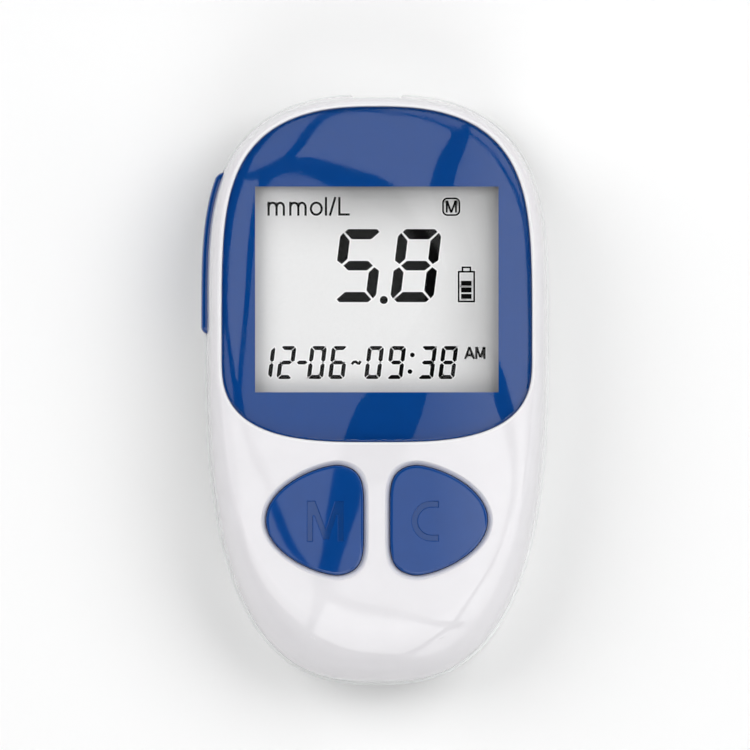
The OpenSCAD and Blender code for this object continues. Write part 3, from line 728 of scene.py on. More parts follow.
def painted_display_shade(tree):
    """Painted shade: the display's colour darkens towards its edges; the upper shade is deepest in the middle.
    """
    xyz = place_of(tree)
    share = None
    for axis, start, end, loss in PAINTED_DISPLAY_SHADES:
        along = calc(tree, "POWER", ramp(tree, xyz[axis], start, end), SHADE_POWER)
        if axis == 1 and end > start:
            aside = ramp(tree, calc(tree, "ABSOLUTE", xyz[0]), *SHADE_THINS)
            along = calc(tree, "MULTIPLY", along, calc(tree, "MULTIPLY_ADD", aside, -SHADE_THINNED, 1.0))
        side = calc(tree, "MULTIPLY_ADD", along, -loss, 1.0)
        share = calc(tree, "MULTIPLY", share, side) if share else side
    return share


def over_display(tree):
    """1 over the display, where the panel has a coating against glare."""
    xyz = place_of(tree)
    share = 1.0
    for axis, low, high in ((0, -VIEW_HALF, VIEW_HALF), (1, VIEW_START, VIEW_END)):
        away = calc(tree, "ABSOLUTE", calc(tree, "SUBTRACT", xyz[axis], (low + high) / 2 * MM))
        share = calc(tree, "MULTIPLY", calc(tree, "LESS_THAN", away, (high - low) / 2 * MM), share)
    return share


def less_bounce(tree):
    """The floor returns half as much light to the object as to the camera."""
    path = node_of(tree, "LightPath")
    return calc(tree, "MULTIPLY_ADD", path.outputs["Is Diffuse Ray"], -0.5, 1.0)


def finish_material(name, colour, rough=0.3, metal=0.0, vary=0.02, spots=3.0, rough_vary=0.02, grain=0.3,
                    grain_depth=0.0004, stretch=(1, 1, 1), specular=0.5, other=None, other_size=6.0,
                    shade=None):
    """A moulded, painted or metal surface: a faint drift of colour, uneven gloss and a fine grain."""
    material, tree = blank_material(name)
    first = colour if other else tuple(c * (1 - 2 * vary) for c in colour)
    second = other or tuple(min(1.0, c * (1 + 2 * vary)) for c in colour)
    drift = ranged(tree, noise_node(tree, other_size if other else spots, 3.0, stretch), 0, 1)
    shown = blended(tree, drift, (*first, 1), (*second, 1))
    # A shade multiplies the colour: on the display it is painted shade, on the floor it halves what diffuse
    # rays see
    if shade:
        shown = blended(tree, shade(tree), (0, 0, 0, 1), shown)
    uneven = noise_node(tree, spots * 0.6, 4.0, stretch)
    shader = node_of(tree, "BsdfPrincipled", {
        "Base Color": shown, "Metallic": metal, "Specular IOR Level": specular,
        "Roughness": ranged(tree, uneven, rough - rough_vary, rough + rough_vary),
        "Normal": grain_normal(tree, grain, grain_depth, 3.0, stretch)})
    node_of(tree, "OutputMaterial", {"Surface": shader.outputs["BSDF"]})
    return material


def clear_material(name, rough, grain_depth):
    """A clear glossy front: what lies behind shows through, under the surface's own reflection."""
    material, tree = blank_material(name)
    # Schlick's law for plastic
    facing = node_of(tree, "LayerWeight", {"Blend": 0.5}).outputs["Facing"]
    law = calc(tree, "MULTIPLY_ADD", calc(tree, "POWER", facing, 5), 1 - STRAIGHT_ON, STRAIGHT_ON)
    coating = calc(tree, "MULTIPLY_ADD", over_display(tree), -COATING, 1.0)
    gloss = node_of(tree, "BsdfGlossy", {
        "Roughness": ranged(tree, noise_node(tree, 4.0), rough * 0.7, rough * 1.3),
        "Normal": grain_normal(tree, 2.5, grain_depth)})
    through = node_of(tree, "BsdfTransparent")
    mix = node_of(tree, "MixShader", {"Fac": calc(tree, "MULTIPLY", law, coating),
                                      1: through.outputs["BSDF"], 2: gloss.outputs["BSDF"]})
    node_of(tree, "OutputMaterial", {"Surface": mix.outputs["Shader"]})
    return material


def through_material(name):
    material, tree = blank_material(name)
    node_of(tree, "OutputMaterial", {"Surface": node_of(tree, "BsdfTransparent").outputs["BSDF"]})
    return material


def glow_material(name, strength, far=None):
    """A lamp face, whose strength goes over to far from 50 to 120 mm right of the middle."""
    material, tree = blank_material(name)
    level = strength
    if far:
        level = calc(tree, "MULTIPLY_ADD", ramp(tree, place_of(tree)[0], 50, 120), far - strength, strength)
    glow = node_of(tree, "Emission", {"Strength": level})
    node_of(tree, "OutputMaterial", {"Surface": glow.outputs["Emission"]})
    return material


STRAIGHT_ON = 0.04     # share of light that plastic reflects straight on
COATING = 0.62         # share of the reflection that the coating over the display takes away
# Painted shade over the display: axis, where the shade starts and is full, and its loss
PAINTED_DISPLAY_SHADES = ((0, 6.0, 18.2, 0.42), (0, -14.5, -19.7, 0.3), (1, 20.0, 31.2, 0.5), (1, 5.0, -0.4, 0.3))
SHADE_POWER = 2.0
SHADE_THINS = (4, 16)  # from the middle, where the upper shade starts to thin and stops thinning
SHADE_THINNED = 0.45

BLUE = (0.003, 0.0545, 0.251)
WHITE = (0.83, 0.817, 0.842)
SILVER = (0.62, 0.61, 0.58)

white_plastic = finish_material("white_plastic", WHITE, 0.03, rough_vary=0.006, vary=0.006, spots=5.0,
                                grain=0.35, grain_depth=0.00002)
# The lip: the case's white plastic painted lighter, a painted highlight along the window's edge
painted_highlight_lip = finish_material("white_plastic_painted_highlight_lip", (0.88, 0.872, 0.887), 0.1, vary=0.004, grain=0.5,
                              grain_depth=0.0001)
rear_plastic = finish_material("rear_plastic", (0.79, 0.8, 0.8), 0.34, vary=0.01, grain=0.22,
                               grain_depth=0.0015)
blue_plastic = finish_material("blue_plastic", BLUE, 0.025, rough_vary=0.005, vary=0.02, spots=4.0, grain=0.8,
                               grain_depth=0.00003)
blue_recess = finish_material("blue_plastic_recess", (0.006, 0.05, 0.21), 0.035, vary=0.03, grain=0.5,
                              grain_depth=0.00005)
blue_print = finish_material("blue_print", BLUE, 0.5, vary=0.01, grain=0.1, grain_depth=0.0005, specular=0.0)
panel_front = clear_material("clear_plastic", 0.018, 0.00006)
panel_back = through_material("clear_plastic_back")
# The display's grey and its halos carry the painted shade towards the display's edges
display_grey = finish_material("lcd_glass", (0.836, 0.837, 0.836), 0.3, vary=0.008, spots=0.4, grain=0.12,
                               grain_depth=0.002, specular=0.1, shade=painted_display_shade)
display_ink = finish_material("lcd_ink", (0.007, 0.007, 0.007), 0.4, vary=0.1, spots=6.0, grain=0.1,
                              other=(0.002, 0.002, 0.002), other_size=14.0, specular=0.0)
display_halo = finish_material("lcd_halo", (0.96, 0.96, 0.96), 0.5, vary=0.005, grain=0.1, specular=0.1,
                               shade=painted_display_shade)
black_plastic = finish_material("black_plastic", (0.014, 0.014, 0.015), 0.42, vary=0.1, grain=0.12,
                                grain_depth=0.004)
steel = finish_material("steel", SILVER, 0.28, 1.0, vary=0.03, grain=0.5, grain_depth=0.0008,
                        stretch=(1, 8, 1))
screw_steel = finish_material("screw_steel", (0.33, 0.33, 0.34), 0.32, 1.0, vary=0.08, grain=0.2,
                              grain_depth=0.001)
gold = finish_material("gold_contact", (0.86, 0.6, 0.25), 0.22, 1.0, vary=0.03, grain=0.3)
inner_plastic = finish_material("inner_plastic", (0.72, 0.72, 0.7), 0.4, vary=0.01, grain=0.25,
                                grain_depth=0.003)
ivory_plastic = finish_material("ivory_plastic", (0.75, 0.68, 0.52), 0.38, vary=0.015, grain=0.25,
                                grain_depth=0.003)
ceramic = finish_material("ceramic", (0.42, 0.3, 0.18), 0.45, vary=0.06, spots=1.0, grain=0.1,
                          grain_depth=0.004)
adhesive = finish_material("adhesive", (0.08, 0.08, 0.085), 0.6, vary=0.05, grain=0.1, grain_depth=0.006)
rubber = finish_material("zebra_rubber", (0.5, 0.28, 0.3), 0.6, vary=0.02, grain=0.1, grain_depth=0.006,
                         other=(0.05, 0.04, 0.04), other_size=0.15, stretch=(1, 0.05, 0.05))
green_board = finish_material("green_board", (0.012, 0.13, 0.045), 0.3, vary=0.05, grain=0.3,
                              grain_depth=0.004, other=(0.02, 0.2, 0.07), other_size=1.2)
label_film = finish_material("label_film", (0.66, 0.67, 0.68), 0.32, vary=0.008, grain=0.15,
                             grain_depth=0.003)
cell_wrap = finish_material("cell_wrap", (0.3, 0.31, 0.33), 0.25, vary=0.05, grain=0.3, grain_depth=0.001)
cell_band = finish_material("cell_band", (0.66, 0.67, 0.68), 0.25, 0.2, vary=0.03, grain=0.3,
                            grain_depth=0.001)


# Case -----------------------------------------------------------------------------------------------------

def key_cutter():
    """The side key's opening, with round corners."""
    line = rounded_rectangle(KEY_START, KEY_Z - KEY_H / 2, KEY_END, KEY_Z + KEY_H / 2, KEY_CORNER, 0.12)
    shell = prism(line, *KEY_HOLE_X)
    shell.points = [(z, x, y) for x, y, z in shell.points]
    return shell


def notch_cutter():
    """The strip port's notch in the top end, which widens outwards."""
    floor_y = BODY_END - NOTCH_DEPTH
    line = [(-NOTCH_HALF, floor_y), (NOTCH_HALF, floor_y),
            (NOTCH_MOUTH_HALF, BODY_END + 1), (-NOTCH_MOUTH_HALF, BODY_END + 1)]
    return prism(np.array(line), -1, BODY_T + 1)


def slot_cutter():
    """The slot that the strip goes into."""
    return cuboid((-SLOT_HALF, SLOT_START, SLOT_LOW), (SLOT_HALF, BODY_END + 1, SLOT_HIGH))


def front_case():
    shell = Shell()
    t = even_angles(BODY_EGG, SIDES)
    run = run_at(t)
    rim = rim_at(t)

    def outside(share):
        line = egg(BODY_EGG, t, -rim - run * share)
        return shell.ring(line, SPLIT + (crown(line[:, 0], line[:, 1]) - SPLIT) * rise(share))

    foot = [shell.ring(egg(BODY_EGG, t, -rim), SPLIT), outside(0.0002)]
    outer = foot + [outside(1 - math.cos(a)) for a in quarter_turn(27)[1:]]
    shell.bridge(outer)

    # Seat of the window panel: rounded lip with a painted highlight, wall, ledge and opening
    tp = even_angles(PANEL_EGG, SIDES)

    def lip(distance, drop):
        return shell.over(egg(PANEL_EGG, tp, PANEL_GAP + distance), skin, drop)

    lips = [lip(LIP_W, 0)]
    lips += [lip(LIP_ROUND * (1 - math.sin(a)), LIP_ROUND * (1 - math.cos(a))) for a in quarter_turn(7)]
    # The lip's faces take the second material, which carries the painted highlight
    shell.bridge(lips, 1)
    ledge = shell.ring(egg(PANEL_EGG, tp, PANEL_GAP), LEDGE_TOP)
    shell.bridge([lips[-1], ledge])
    opening_top = shell.ring(view_line(LEDGE_PLAY), LEDGE_TOP)
    opening_under = shell.ring(view_line(LEDGE_PLAY), CEILING)
    shell.bridge([opening_top, opening_under])
    shell.fill([ledge, opening_top], lambda x, y, margin:
               (fullness(PANEL_EGG, x, y, PANEL_GAP - margin) < 1) & beside_view(x, y, LEDGE_PLAY))

    # Openings of the two buttons, each with a soft bevel
    tb = even_angles(BUTTON_EGG, BUTTON_SIDES)
    bevels = []
    button_floors = []
    for side in (-1, 1):
        rings = []
        for share in (1, 0.94, 0.88, 0.8, 0.4, 0):
            drop = BEVEL_DROP * ((1 - share) ** 2 / 0.4 if share > 0.8 else 0.9 - share)
            rings.append(shell.over(button_line(side, tb, BUTTON_GAP + BEVEL_W * share), skin, drop))
        rings.append(shell.ring(button_line(side, tb, BUTTON_GAP), CEILING))
        shell.bridge(rings)
        bevels.append(rings[0])
        button_floors.append(rings[-1])

    def beside_buttons(x, y, grow):
        return (button_fullness(-1, x, y, grow) > 1) & (button_fullness(1, x, y, grow) > 1)

    def on_face(x, y, margin):
        kept = fullness(BODY_EGG, x, y, -RUNS.min() - margin) < 1
        kept &= edge_share(x, y) > 0.999
        kept &= fullness(PANEL_EGG, x, y, PANEL_GAP + LIP_W + margin) > 1
        return kept & beside_buttons(x, y, BUTTON_GAP + BEVEL_W + margin)

    shell.fill([outer[-1], lips[0]] + bevels, on_face, skin, PITCH)

    # Inside
    inner = []
    inner_run = np.maximum(plain_run(t) - WALL, 0.8)
    for a in quarter_turn(9):
        line = egg(BODY_EGG, t, -WALL_IN - inner_run * (1 - math.cos(a)))
        inner.append(shell.ring(line, SPLIT + (CEILING - SPLIT) * math.sin(a)))
    shell.bridge([foot[0]] + inner)
    ceiling_line = np.array([shell.points[i][:2] for i in inner[-1]])
    shell.fill([inner[-1], opening_under] + button_floors, lambda x, y, margin:
               beside_view(x, y, LEDGE_PLAY) & inside_line(ceiling_line, x, y)
               & beside_buttons(x, y, BUTTON_GAP))
    data = shell.mesh("front_case")
    bosses = rods(CASE_SCREWS, CASE_BOSS_R, SPLIT, CEILING + 0.3)
    bosses += rods(BOARD_SCREWS, BOARD_BOSS_R, BOARD_TOP, CEILING + 0.9)
    data = carved(data, bosses, "UNION")
    data = carved(data, [key_cutter(), notch_cutter()])
    data = carved(data, [slot_cutter()])
    return place(data, "front_case.moulding", "case", [white_plastic, painted_highlight_lip],
                 ["front_case"], 30, skin)


def rear_case():
    shell = Shell()
    t = even_angles(BODY_EGG, SIDES)
    rim = rim_at(t)
    rings = [shell.ring(egg(BODY_EGG, t, -WALL), SPLIT), shell.ring(egg(BODY_EGG, t, -rim - 0.2), SPLIT)]
    for a in quarter_turn(8):
        line = egg(BODY_EGG, t, -rim * (1 - math.sin(a)))
        rings.append(shell.ring(line, SPLIT - rim * (1 - math.cos(a))))
    for a in quarter_turn(22)[1:]:
        line = egg(BODY_EGG, t, -EDGE_RUN_BACK * (1 - math.cos(a)))
        rings.append(shell.ring(line, (SPLIT - rim) * (1 - math.sin(a))))
    shell.bridge(rings)
    shell.cap(rings[-1], inner=0.985)
    inner = [rings[0]]
    for a in quarter_turn(9)[1:]:
        line = egg(BODY_EGG, t, -WALL - (EDGE_RUN_BACK - WALL) * (1 - math.cos(a)))
        inner.append(shell.ring(line, SPLIT - (SPLIT - WALL) * math.sin(a)))
    shell.bridge(inner)
    shell.cap(inner[-1])
    data = shell.mesh("rear_case")

    # Added: the cells' bay, the screw posts, the wall behind the key's spring, the crank's post and a spigot
    foot = WALL - 0.3
    bay_walls = cuboid((-BAY_HALF - BAY_WALL, BAY_START - BAY_WALL, foot),
                       (BAY_HALF + BAY_WALL, BAY_END + BAY_WALL, BAY_TOP))
    spring_wall = cuboid((SPRING_WALL_X[0], SPRING_Y - 2.5, foot),
                         (SPRING_WALL_X[1], SPRING_Y + 2.5, SPRING_WALL_TOP))
    posts = rods(CASE_SCREWS, POST_OUTER_R, foot, POST_TOP)
    data = carved(data, [bay_walls] + posts + [spring_wall], "UNION")
    crank_post = rod(CRANK_POST_R, foot, CRANK_POST_TOP, (*PIVOT, 0))
    spigot = rod(SPIGOT_R, -21.05, -19.45, (0, SPRING_Y, KEY_Z), "x")
    data = carved(data, [crank_post, spigot], "UNION")

    # Cut: the bay and the door's seat, the label's recess, hook pockets, screw holes and the openings
    bay = cuboid((-BAY_HALF, BAY_START, -1), (BAY_HALF, BAY_END, 14))
    door_seat = prism(rounded_rectangle(*DOOR_PLATE), -1, DOOR_SEAT_TOP)
    mouth_half, mouth_start, mouth_end, mouth_top = MOUTH
    mouth = cuboid((-mouth_half, mouth_start, -1), (mouth_half, mouth_end, mouth_top))
    label_recess = prism(rounded_rectangle(*LABEL, 0.1), -1, LABEL_TOP)
    pockets = [cuboid((x - 0.2, BAY_END - 1, WALL), (x + w + 0.2, BAY_END + 2.2, 3.3)) for x, w in HOOKS]
    hole = [(0, -1), (2.3, -1), (2.3, -0.3), (2.05, 0.12), (2.05, 1.9), (HOLE_R, 1.9), (HOLE_R, 9.5),
            (0, 9.5)]
    holes = [turned(hole, (x, y, 0)) for x, y in each_side(CASE_SCREWS)]
    pin = rod(HOLE_R, 5.8, 10, (*PIVOT, 0))
    data = carved(data, [bay, label_recess, pin] + holes)
    data = carved(data, [door_seat, key_cutter()] + pockets)
    data = carved(data, [mouth, notch_cutter()])
    return place(data, "rear_case.moulding", "case", [rear_plastic], ["rear_case"], 30)


# Window and display ---------------------------------------------------------------------------------------

def window_panel():
    shell = Shell()
    t = even_angles(PANEL_EGG, SIDES)
    under = shell.ring(egg(PANEL_EGG, t, -0.06), PANEL_UNDER)
    rings = [under, shell.ring(egg(PANEL_EGG, t), PANEL_UNDER + 0.06)]
    for a in quarter_turn(14):
        line = egg(PANEL_EGG, t, -PANEL_EDGE * (1 - math.cos(a)))
        rings.append(shell.over(line, crown, PANEL_DROP * (1 - math.sin(a))))
    middle = np.array([0, PANEL_WIDE_Y])
    edge = egg(PANEL_EGG, t, -PANEL_EDGE)
    rings += [shell.over(middle + (edge - middle) * k, crown) for k in np.linspace(1, 0, 42)[1:-1]]
    shell.bridge(rings)
    centre = shell.ring([middle], crown(0, PANEL_WIDE_Y))[0]
    shell.fan(rings[-1], centre)
    shell.cap(under, 1)
    return place(shell.mesh("panel"), "window.panel", "case", [panel_front, panel_back],
                 ["display_lens"], 50, crown)


def window_print():
    """The colour behind the panel and round its side, which leaves the clear opening."""
    shell = Shell()
    t = even_angles(PANEL_EGG, SIDES)
    near = egg(PANEL_EGG, t, 0.01)
    far = egg(PANEL_EGG, t, 0.05)
    side_top = crown(near[:, 0], near[:, 1]) - PANEL_DROP - 0.01
    top = PANEL_UNDER - 0.004
    under = PANEL_UNDER - MASK_T
    rings = [shell.ring(near, top), shell.ring(near, side_top), shell.ring(far, side_top),
             shell.ring(far, under)]
    shell.bridge(rings)
    high = shell.ring(view_line(), top)
    low = shell.ring(view_line(), under)
    shell.bridge([high, low])

    def printed(x, y, margin):
        return (fullness(PANEL_EGG, x, y, 0.05) < 1) & beside_view(x, y)

    shell.fill([rings[0], high], printed)
    shell.fill([rings[-1], low], printed)
    return place(shell.mesh("print"), "window.print", "case", [blue_print], ["lens_mask"])


# Seven-segment digits: which of the segments a to g are on
SEGMENTS = {"0": "abcdef", "1": "bc", "2": "abged", "3": "abgcd", "5": "afgcd", "6": "afgedc", "8": "abcdefg",
            "9": "abcdfg", "-": "g"}
LEAN = 0.125
# Bottom, width, height and bar of a row of digits, then the left edge of each digit
DIGITS = (((14.14, 7.02, 11.84, 1.66), ((-7.28, "5"), (2.08, "8"))),
          ((1.7, 2.62, 5.35, 0.66), ((-19.66, "1"), (-16.28, "2"), (-11.35, "0"), (-7.9, "6"), (-2.08, "0"),
                                     (1.49, "9"), (6.5, "3"), (9.92, "8"), (-13.74, "-"))))
DOTS = ((1.135, 14.5, 0.65), (5.76, 5.6, 0.38), (5.37, 2.9, 0.38))
TILDE = [(-4.05, 4.1), (-3.75, 4.45), (-3.4, 4.5), (-3.1, 4.25), (-2.85, 4.22), (-2.62, 4.6)]
MEMORY_STROKES = (((11.32, 28.65), (11.32, 30.6)), ((11.37, 30.6), (12.05, 28.65)),
                  ((12.05, 28.65), (12.77, 30.6)), ((12.82, 28.65), (12.82, 30.6)))
AM_STROKES = (((14.3, 4.95), (15.0, 6.89)), ((15.0, 6.89), (15.75, 4.95)), ((14.5, 5.55), (15.5, 5.55)),
              ((16.12, 4.95), (16.12, 6.89)), ((16.15, 6.89), (16.78, 5.2)), ((16.78, 5.2), (17.4, 6.89)),
              ((17.43, 4.95), (17.43, 6.89)))


def digit_segments(text, left, bottom, width, height, bar):
    """Outlines of a digit's segments, leaning to the right."""
    middle = height / 2
    flat = [(bar * 0.42, height - bar * 0.28), (bar * 0.72, height), (width - bar * 0.72, height),
            (width - bar * 0.42, height - bar * 0.28), (width - bar * 1.17, height - bar),
            (bar * 1.17, height - bar)]
    upright = [(bar * 0.27, height - bar * 0.36), (bar, height - bar * 1.15), (bar, middle + bar * 0.66),
               (bar * 0.5, middle + bar * 0.15), (0, middle + bar * 0.5), (0, height - bar * 0.74)]
    bridge = [(bar * 0.67, middle), (bar * 1.2, middle + bar * 0.47),
              (width - bar * 1.2, middle + bar * 0.47), (width - bar * 0.67, middle),
              (width - bar * 1.2, middle - bar * 0.47), (bar * 1.2, middle - bar * 0.47)]

    def flip(line, x=False, y=False):
        return [(width - px if x else px, height - py if y else py) for px, py in line]

    shapes = {"a": flat, "d": flip(flat, y=True), "g": bridge, "f": upright, "b": flip(upright, x=True),
              "e": flip(upright, y=True), "c": flip(upright, x=True, y=True)}
    return [np.array([(left + px + LEAN * py, bottom + py) for px, py in shapes[s]]) for s in SEGMENTS[text]]


def stroke(points, width, closed=False):
    """The outline, or pair of outlines, of a pen stroke along points."""
    points = np.array(points, float)
    if closed:
        return [inset(points, -width / 2), inset(points, width / 2)]
    left = left_of(np.diff(points, axis=0))
    middle = mitred(np.vstack([left[:1], left]), np.vstack([left, left[-1:]]))
    return [np.vstack([points + middle * width / 2, (points - middle * width / 2)[::-1]])]


def arc(cx, cy, rx, ry, start, end, count=14):
    a = np.radians(np.linspace(start, end, count))
    return list(zip(cx + rx * np.cos(a), cy + ry * np.sin(a)))


def display_marks(grow):
    """Every mark, wider by grow all round, as lists of outlines of which the second is a hole."""

    def pen(points, width, closed=False):
        return stroke(points, width + 2 * grow, closed)

    def shape(line):
        area = (line[:, 0] * np.roll(line[:, 1], -1) - line[:, 1] * np.roll(line[:, 0], -1)).sum()
        return [inset(line if area > 0 else line[::-1], -grow)]

    marks = []
    for sizes, digits in DIGITS:
        for left, text in digits:
            marks += [shape(s) for s in digit_segments(text, left, *sizes)]
    marks += [shape(circle(*dot)) for dot in DOTS]
    marks += [pen(TILDE, 0.42)]
    # The unit: two letters of two arches, an open ring, a slash and an angle
    base = 28.15
    tall = 31.17
    wide = 0.38
    for left in (-17.71, -14.19):
        stems = [left + wide / 2, left + 1.48, left + 2.85 - wide / 2]
        marks += [pen([(stems[0], base), (stems[0], 30.4)], wide)]
        for a, b in zip(stems, stems[1:]):
            reach = (b - a) / 2
            marks += [pen([(b, base)] + arc(a + reach, 30.4 - 0.9, reach, 0.73, 0, 180), wide)]
    marks += [pen(arc(-9.8, 29.28, 0.88, 0.97, 0, 345, 24), wide, True)]
    marks += [pen([(-8.23, base), (-8.23, tall)], wide), pen([(-7.6, base), (-6.72, tall)], wide)]
    marks += [pen([(-6.06, tall), (-6.06, base + wide / 2), (-4.38, base + wide / 2)], wide)]
    # Memory sign
    marks += [pen(rounded_rectangle(10.72, 28.25, 13.38, 30.95, 0.72), 0.28, True)]
    marks += [pen(ends, 0.3) for ends in MEMORY_STROKES]
    # Battery sign
    marks += [pen(rectangle(13.25, 14.25, 15.77, 19.07, 1000), 0.28, True)]
    marks += [pen([(13.87, 19.07), (13.87, 19.78), (15.15, 19.78), (15.15, 19.07)], 0.28)]
    marks += [shape(rectangle(13.64, y, 15.34, y + 0.81, 1000)) for y in (14.68, 15.72, 16.8)]
    marks += [pen(ends, 0.36) for ends in AM_STROKES]
    return marks


def mark_solids(grow, z0, z1):
    shells = []
    for k, lines in enumerate(display_marks(grow)):
        shell = Shell()
        low = [shell.ring(line, z0) for line in lines]
        high = [shell.ring(line, z1 + 0.00004 * k) for line in lines]
        for a, b in zip(low, high):
            shell.bridge([a, b])

        def inked(x, y, margin, lines=lines):
            kept = inside_line(lines[0], x, y)
            for hole in lines[1:]:
                kept &= ~inside_line(hole, x, y)
            return kept

        shell.fill(low, inked)
        shell.fill(high, inked)
        shells.append(shell)
    return joined(shells)


def display():
    halo = mark_solids(0.2, GLASS_TOP - 0.01, GLASS_TOP + 0.006)
    ink = mark_solids(0.0, GLASS_TOP - 0.01, GLASS_TOP + 0.016)
    place(halo.mesh("halo"), "display.halos", "case", [display_halo])
    place(ink.mesh("ink"), "display.marks", "case", [display_ink])


# Buttons and side key -------------------------------------------------------------------------------------

M_LINE = [(-11.33, -24.65), (-10.3, -24.65), (-10.3, -20.5), (-10.1, -20.5), (-8.7, -24.35), (-7.75, -24.35),
          (-6.5, -20.4), (-6.35, -20.4), (-6.35, -24.65), (-5.35, -24.65), (-5.35, -18.05), (-6.78, -18.05),
          (-8.27, -22.5), (-9.95, -18.0), (-11.33, -18.0)]
C_LINE = [(10.05, -24.6), (10.05, -23.5)] + arc(8.87, -21.3, 2.2, 2.2, 270, 90, 24)
C_LINE += [(10.05, -19.1), (10.05, -18.0)] + arc(8.87, -21.3, 3.3, 3.3, 90, 270, 34)


def button(side, name, body, node, letter):
    """A button with its letter sunk into the top, a flange under the case and a post down to its dome."""
    shell = Shell()
    t = even_angles(BUTTON_EGG, BUTTON_SIDES)

    def top(x, y):
        return crown(x, y) + BUTTON_PROUD

    rings = []
    for a in np.linspace(math.pi / 2, 0, 12):
        line = button_line(side, t, -BUTTON_EDGE * (1 - math.cos(a)))
        rings.append(shell.over(line, top, BUTTON_DROP * (1 - math.sin(a))))
    flange = button_line(side, t, FLANGE)
    rings += [shell.ring(button_line(side, t), FLANGE_TOP), shell.ring(flange, FLANGE_TOP),
              shell.ring(flange, FLANGE_TOP - 1)]
    shell.bridge(rings)
    edge = densed(np.array(letter, float), 0.4)
    outer = shell.over(edge, top)
    floor_line = inset(edge, LETTER_DRAFT)
    inner = shell.over(floor_line, top, LETTER_DEPTH)
    shell.bridge([outer, inner])

    def round_letter(x, y, margin):
        letter_line = inset(edge, -margin * 0.5) if margin else edge
        on_top = button_fullness(side, x, y, -BUTTON_EDGE - margin) < 1
        return on_top & ~inside_line(letter_line, x, y)

    shell.fill([rings[0], outer], round_letter, top, PITCH)
    shell.fill([inner], lambda x, y, margin: inside_line(floor_line, x, y), kind=1)
    post = circle(side * POST_X, BUTTON_Y, POST_R, 32)
    post_top = shell.ring(post, FLANGE_TOP - 1)
    post_end = shell.ring(post, BOARD_TOP + POST_CLEARANCE)
    shell.bridge([post_top, post_end])
    shell.cap(post_end)
    shell.fill([rings[-1], post_top], lambda x, y, margin: (button_fullness(side, x, y, FLANGE) < 1)
               & (np.hypot(x - side * POST_X, y - BUTTON_Y) > POST_R))
    return place(shell.mesh(name), name, body, [blue_plastic, blue_recess], [node], 28, top)


def side_key():
    """The key's cap follows the case's side; its flange, leg and spigot are inside."""
    cap = Shell()
    rings = []
    ease = (1 - np.cos(np.linspace(0, math.pi, 90))) / 2
    for y in KEY_START + (KEY_END - KEY_START) * ease:
        near = min(y - KEY_START, KEY_END - y)
        drop = KEY_CORNER * (1 - float(rise(min(near / KEY_CORNER, 1))))
        tall = KEY_H / 2 - drop * 0.9
        xo = -float(half_at(y, KEY_PROUD - drop))
        xi = -float(half_at(y, KEY_INNER))
        r = min(KEY_ROUND, (xi - xo) * 0.6)
        line = [(xi, y, KEY_Z + tall)]
        for a in np.linspace(math.pi / 2, -math.pi / 2, 33):
            flat = abs(math.sin(a)) ** KEY_SECTION
            line.append((xo + r - r * math.cos(a) ** KEY_SECTION, y, KEY_Z + math.copysign(tall * flat, a)))
        line += [(xi, y, KEY_Z - tall)]
        rings.append(cap.ring3(line))
    cap.bridge(rings)
    cap.cap(rings[0], inner=0.6)
    cap.cap(rings[-1], inner=0.6)
    flange = Shell()
    rings = []
    for y in np.linspace(KEY_START - 0.9, KEY_END + 0.9, 30):
        xo = -float(half_at(y, FLANGE_OUTER))
        xi = -float(half_at(y, FLANGE_INNER))
        low = KEY_Z - FLANGE_HALF
        high = KEY_Z + FLANGE_HALF
        rings.append(flange.ring3([(xi, y, high), (xo, y, high), (xo, y, low), (xi, y, low)]))
    flange.bridge(rings)
    flange.cap(rings[0])
    flange.cap(rings[-1])
    leg_start = -float(half_at(LEG_Y, FLANGE_INNER)) - 0.5
    leg = cuboid((leg_start, LEG_Y + LEG_SIDES[0], LEG_LOW), (LEG_END, LEG_Y + LEG_SIDES[1], LEG_HIGH))
    spigot_x = -float(half_at(SPRING_Y, FLANGE_INNER))
    spigot = rod(SPIGOT_R, spigot_x - 0.3, spigot_x + 0.9, (0, SPRING_Y, KEY_Z), "x", 24)
    whole = joined([cap, flange, leg, spigot])
    return place(whole.mesh("side_key"), "side_key.cap", "side_key", [blue_plastic],
                 ["ejector_key"], 40)


# Back -----------------------------------------------------------------------------------------------------

def battery_door():
    def plate_line(grow):
        return rounded_rectangle(*DOOR_PLATE, grow - DOOR_GAP)

    levels = [(-0.35, DOOR_UNDER), (-0.15, DOOR_UNDER + 0.04), (0, DOOR_UNDER + 0.22), (0, DOOR_LIP_TOP)]
    data = solid(levels, plate_line).mesh("door")
    half, start, end = TONGUE
    tongue = cuboid((-half, start, DOOR_UNDER + 0.02), (half, end, DOOR_LIP_TOP))
    pad_line = rounded_rectangle(-BAY_HALF, BAY_START, BAY_HALF, BAY_END, 0.8, -DOOR_GAP)
    data = carved(data, [tongue, prism(pad_line, DOOR_LIP_TOP - 0.1, WALL)], "UNION")
    stem_end = BAY_END - DOOR_GAP
    stems = [cuboid((x, HOOK_ROOT, DOOR_LIP_TOP - 0.05), (x + w, stem_end, HOOK_TOP)) for x, w in HOOKS]
    tips = [cuboid((x, HOOK_ROOT, HOOK_TIP_UNDER), (x + w, HOOK_REACH, HOOK_TOP)) for x, w in HOOKS]
    data = carved(data, stems, "UNION")
    data = carved(data, tips, "UNION")
    ribs = []
    for k in range(5):
        half = 5.5 - 0.35 * k
        y = -31.2 + 1.5 * k
        ribs.append(prism(rounded_rectangle(-half, y, half, -30.6 + 1.5 * k, 0.29), -1, 0.45))
    arrow = prism(np.array([(-2.2, -21.2), (2.2, -21.2), (0, -23.4)]), -1, 0.35)
    data = carved(data, ribs + [arrow])
    return place(data, "battery_door.plate", "door", [rear_plastic], ["battery_door"], 30)


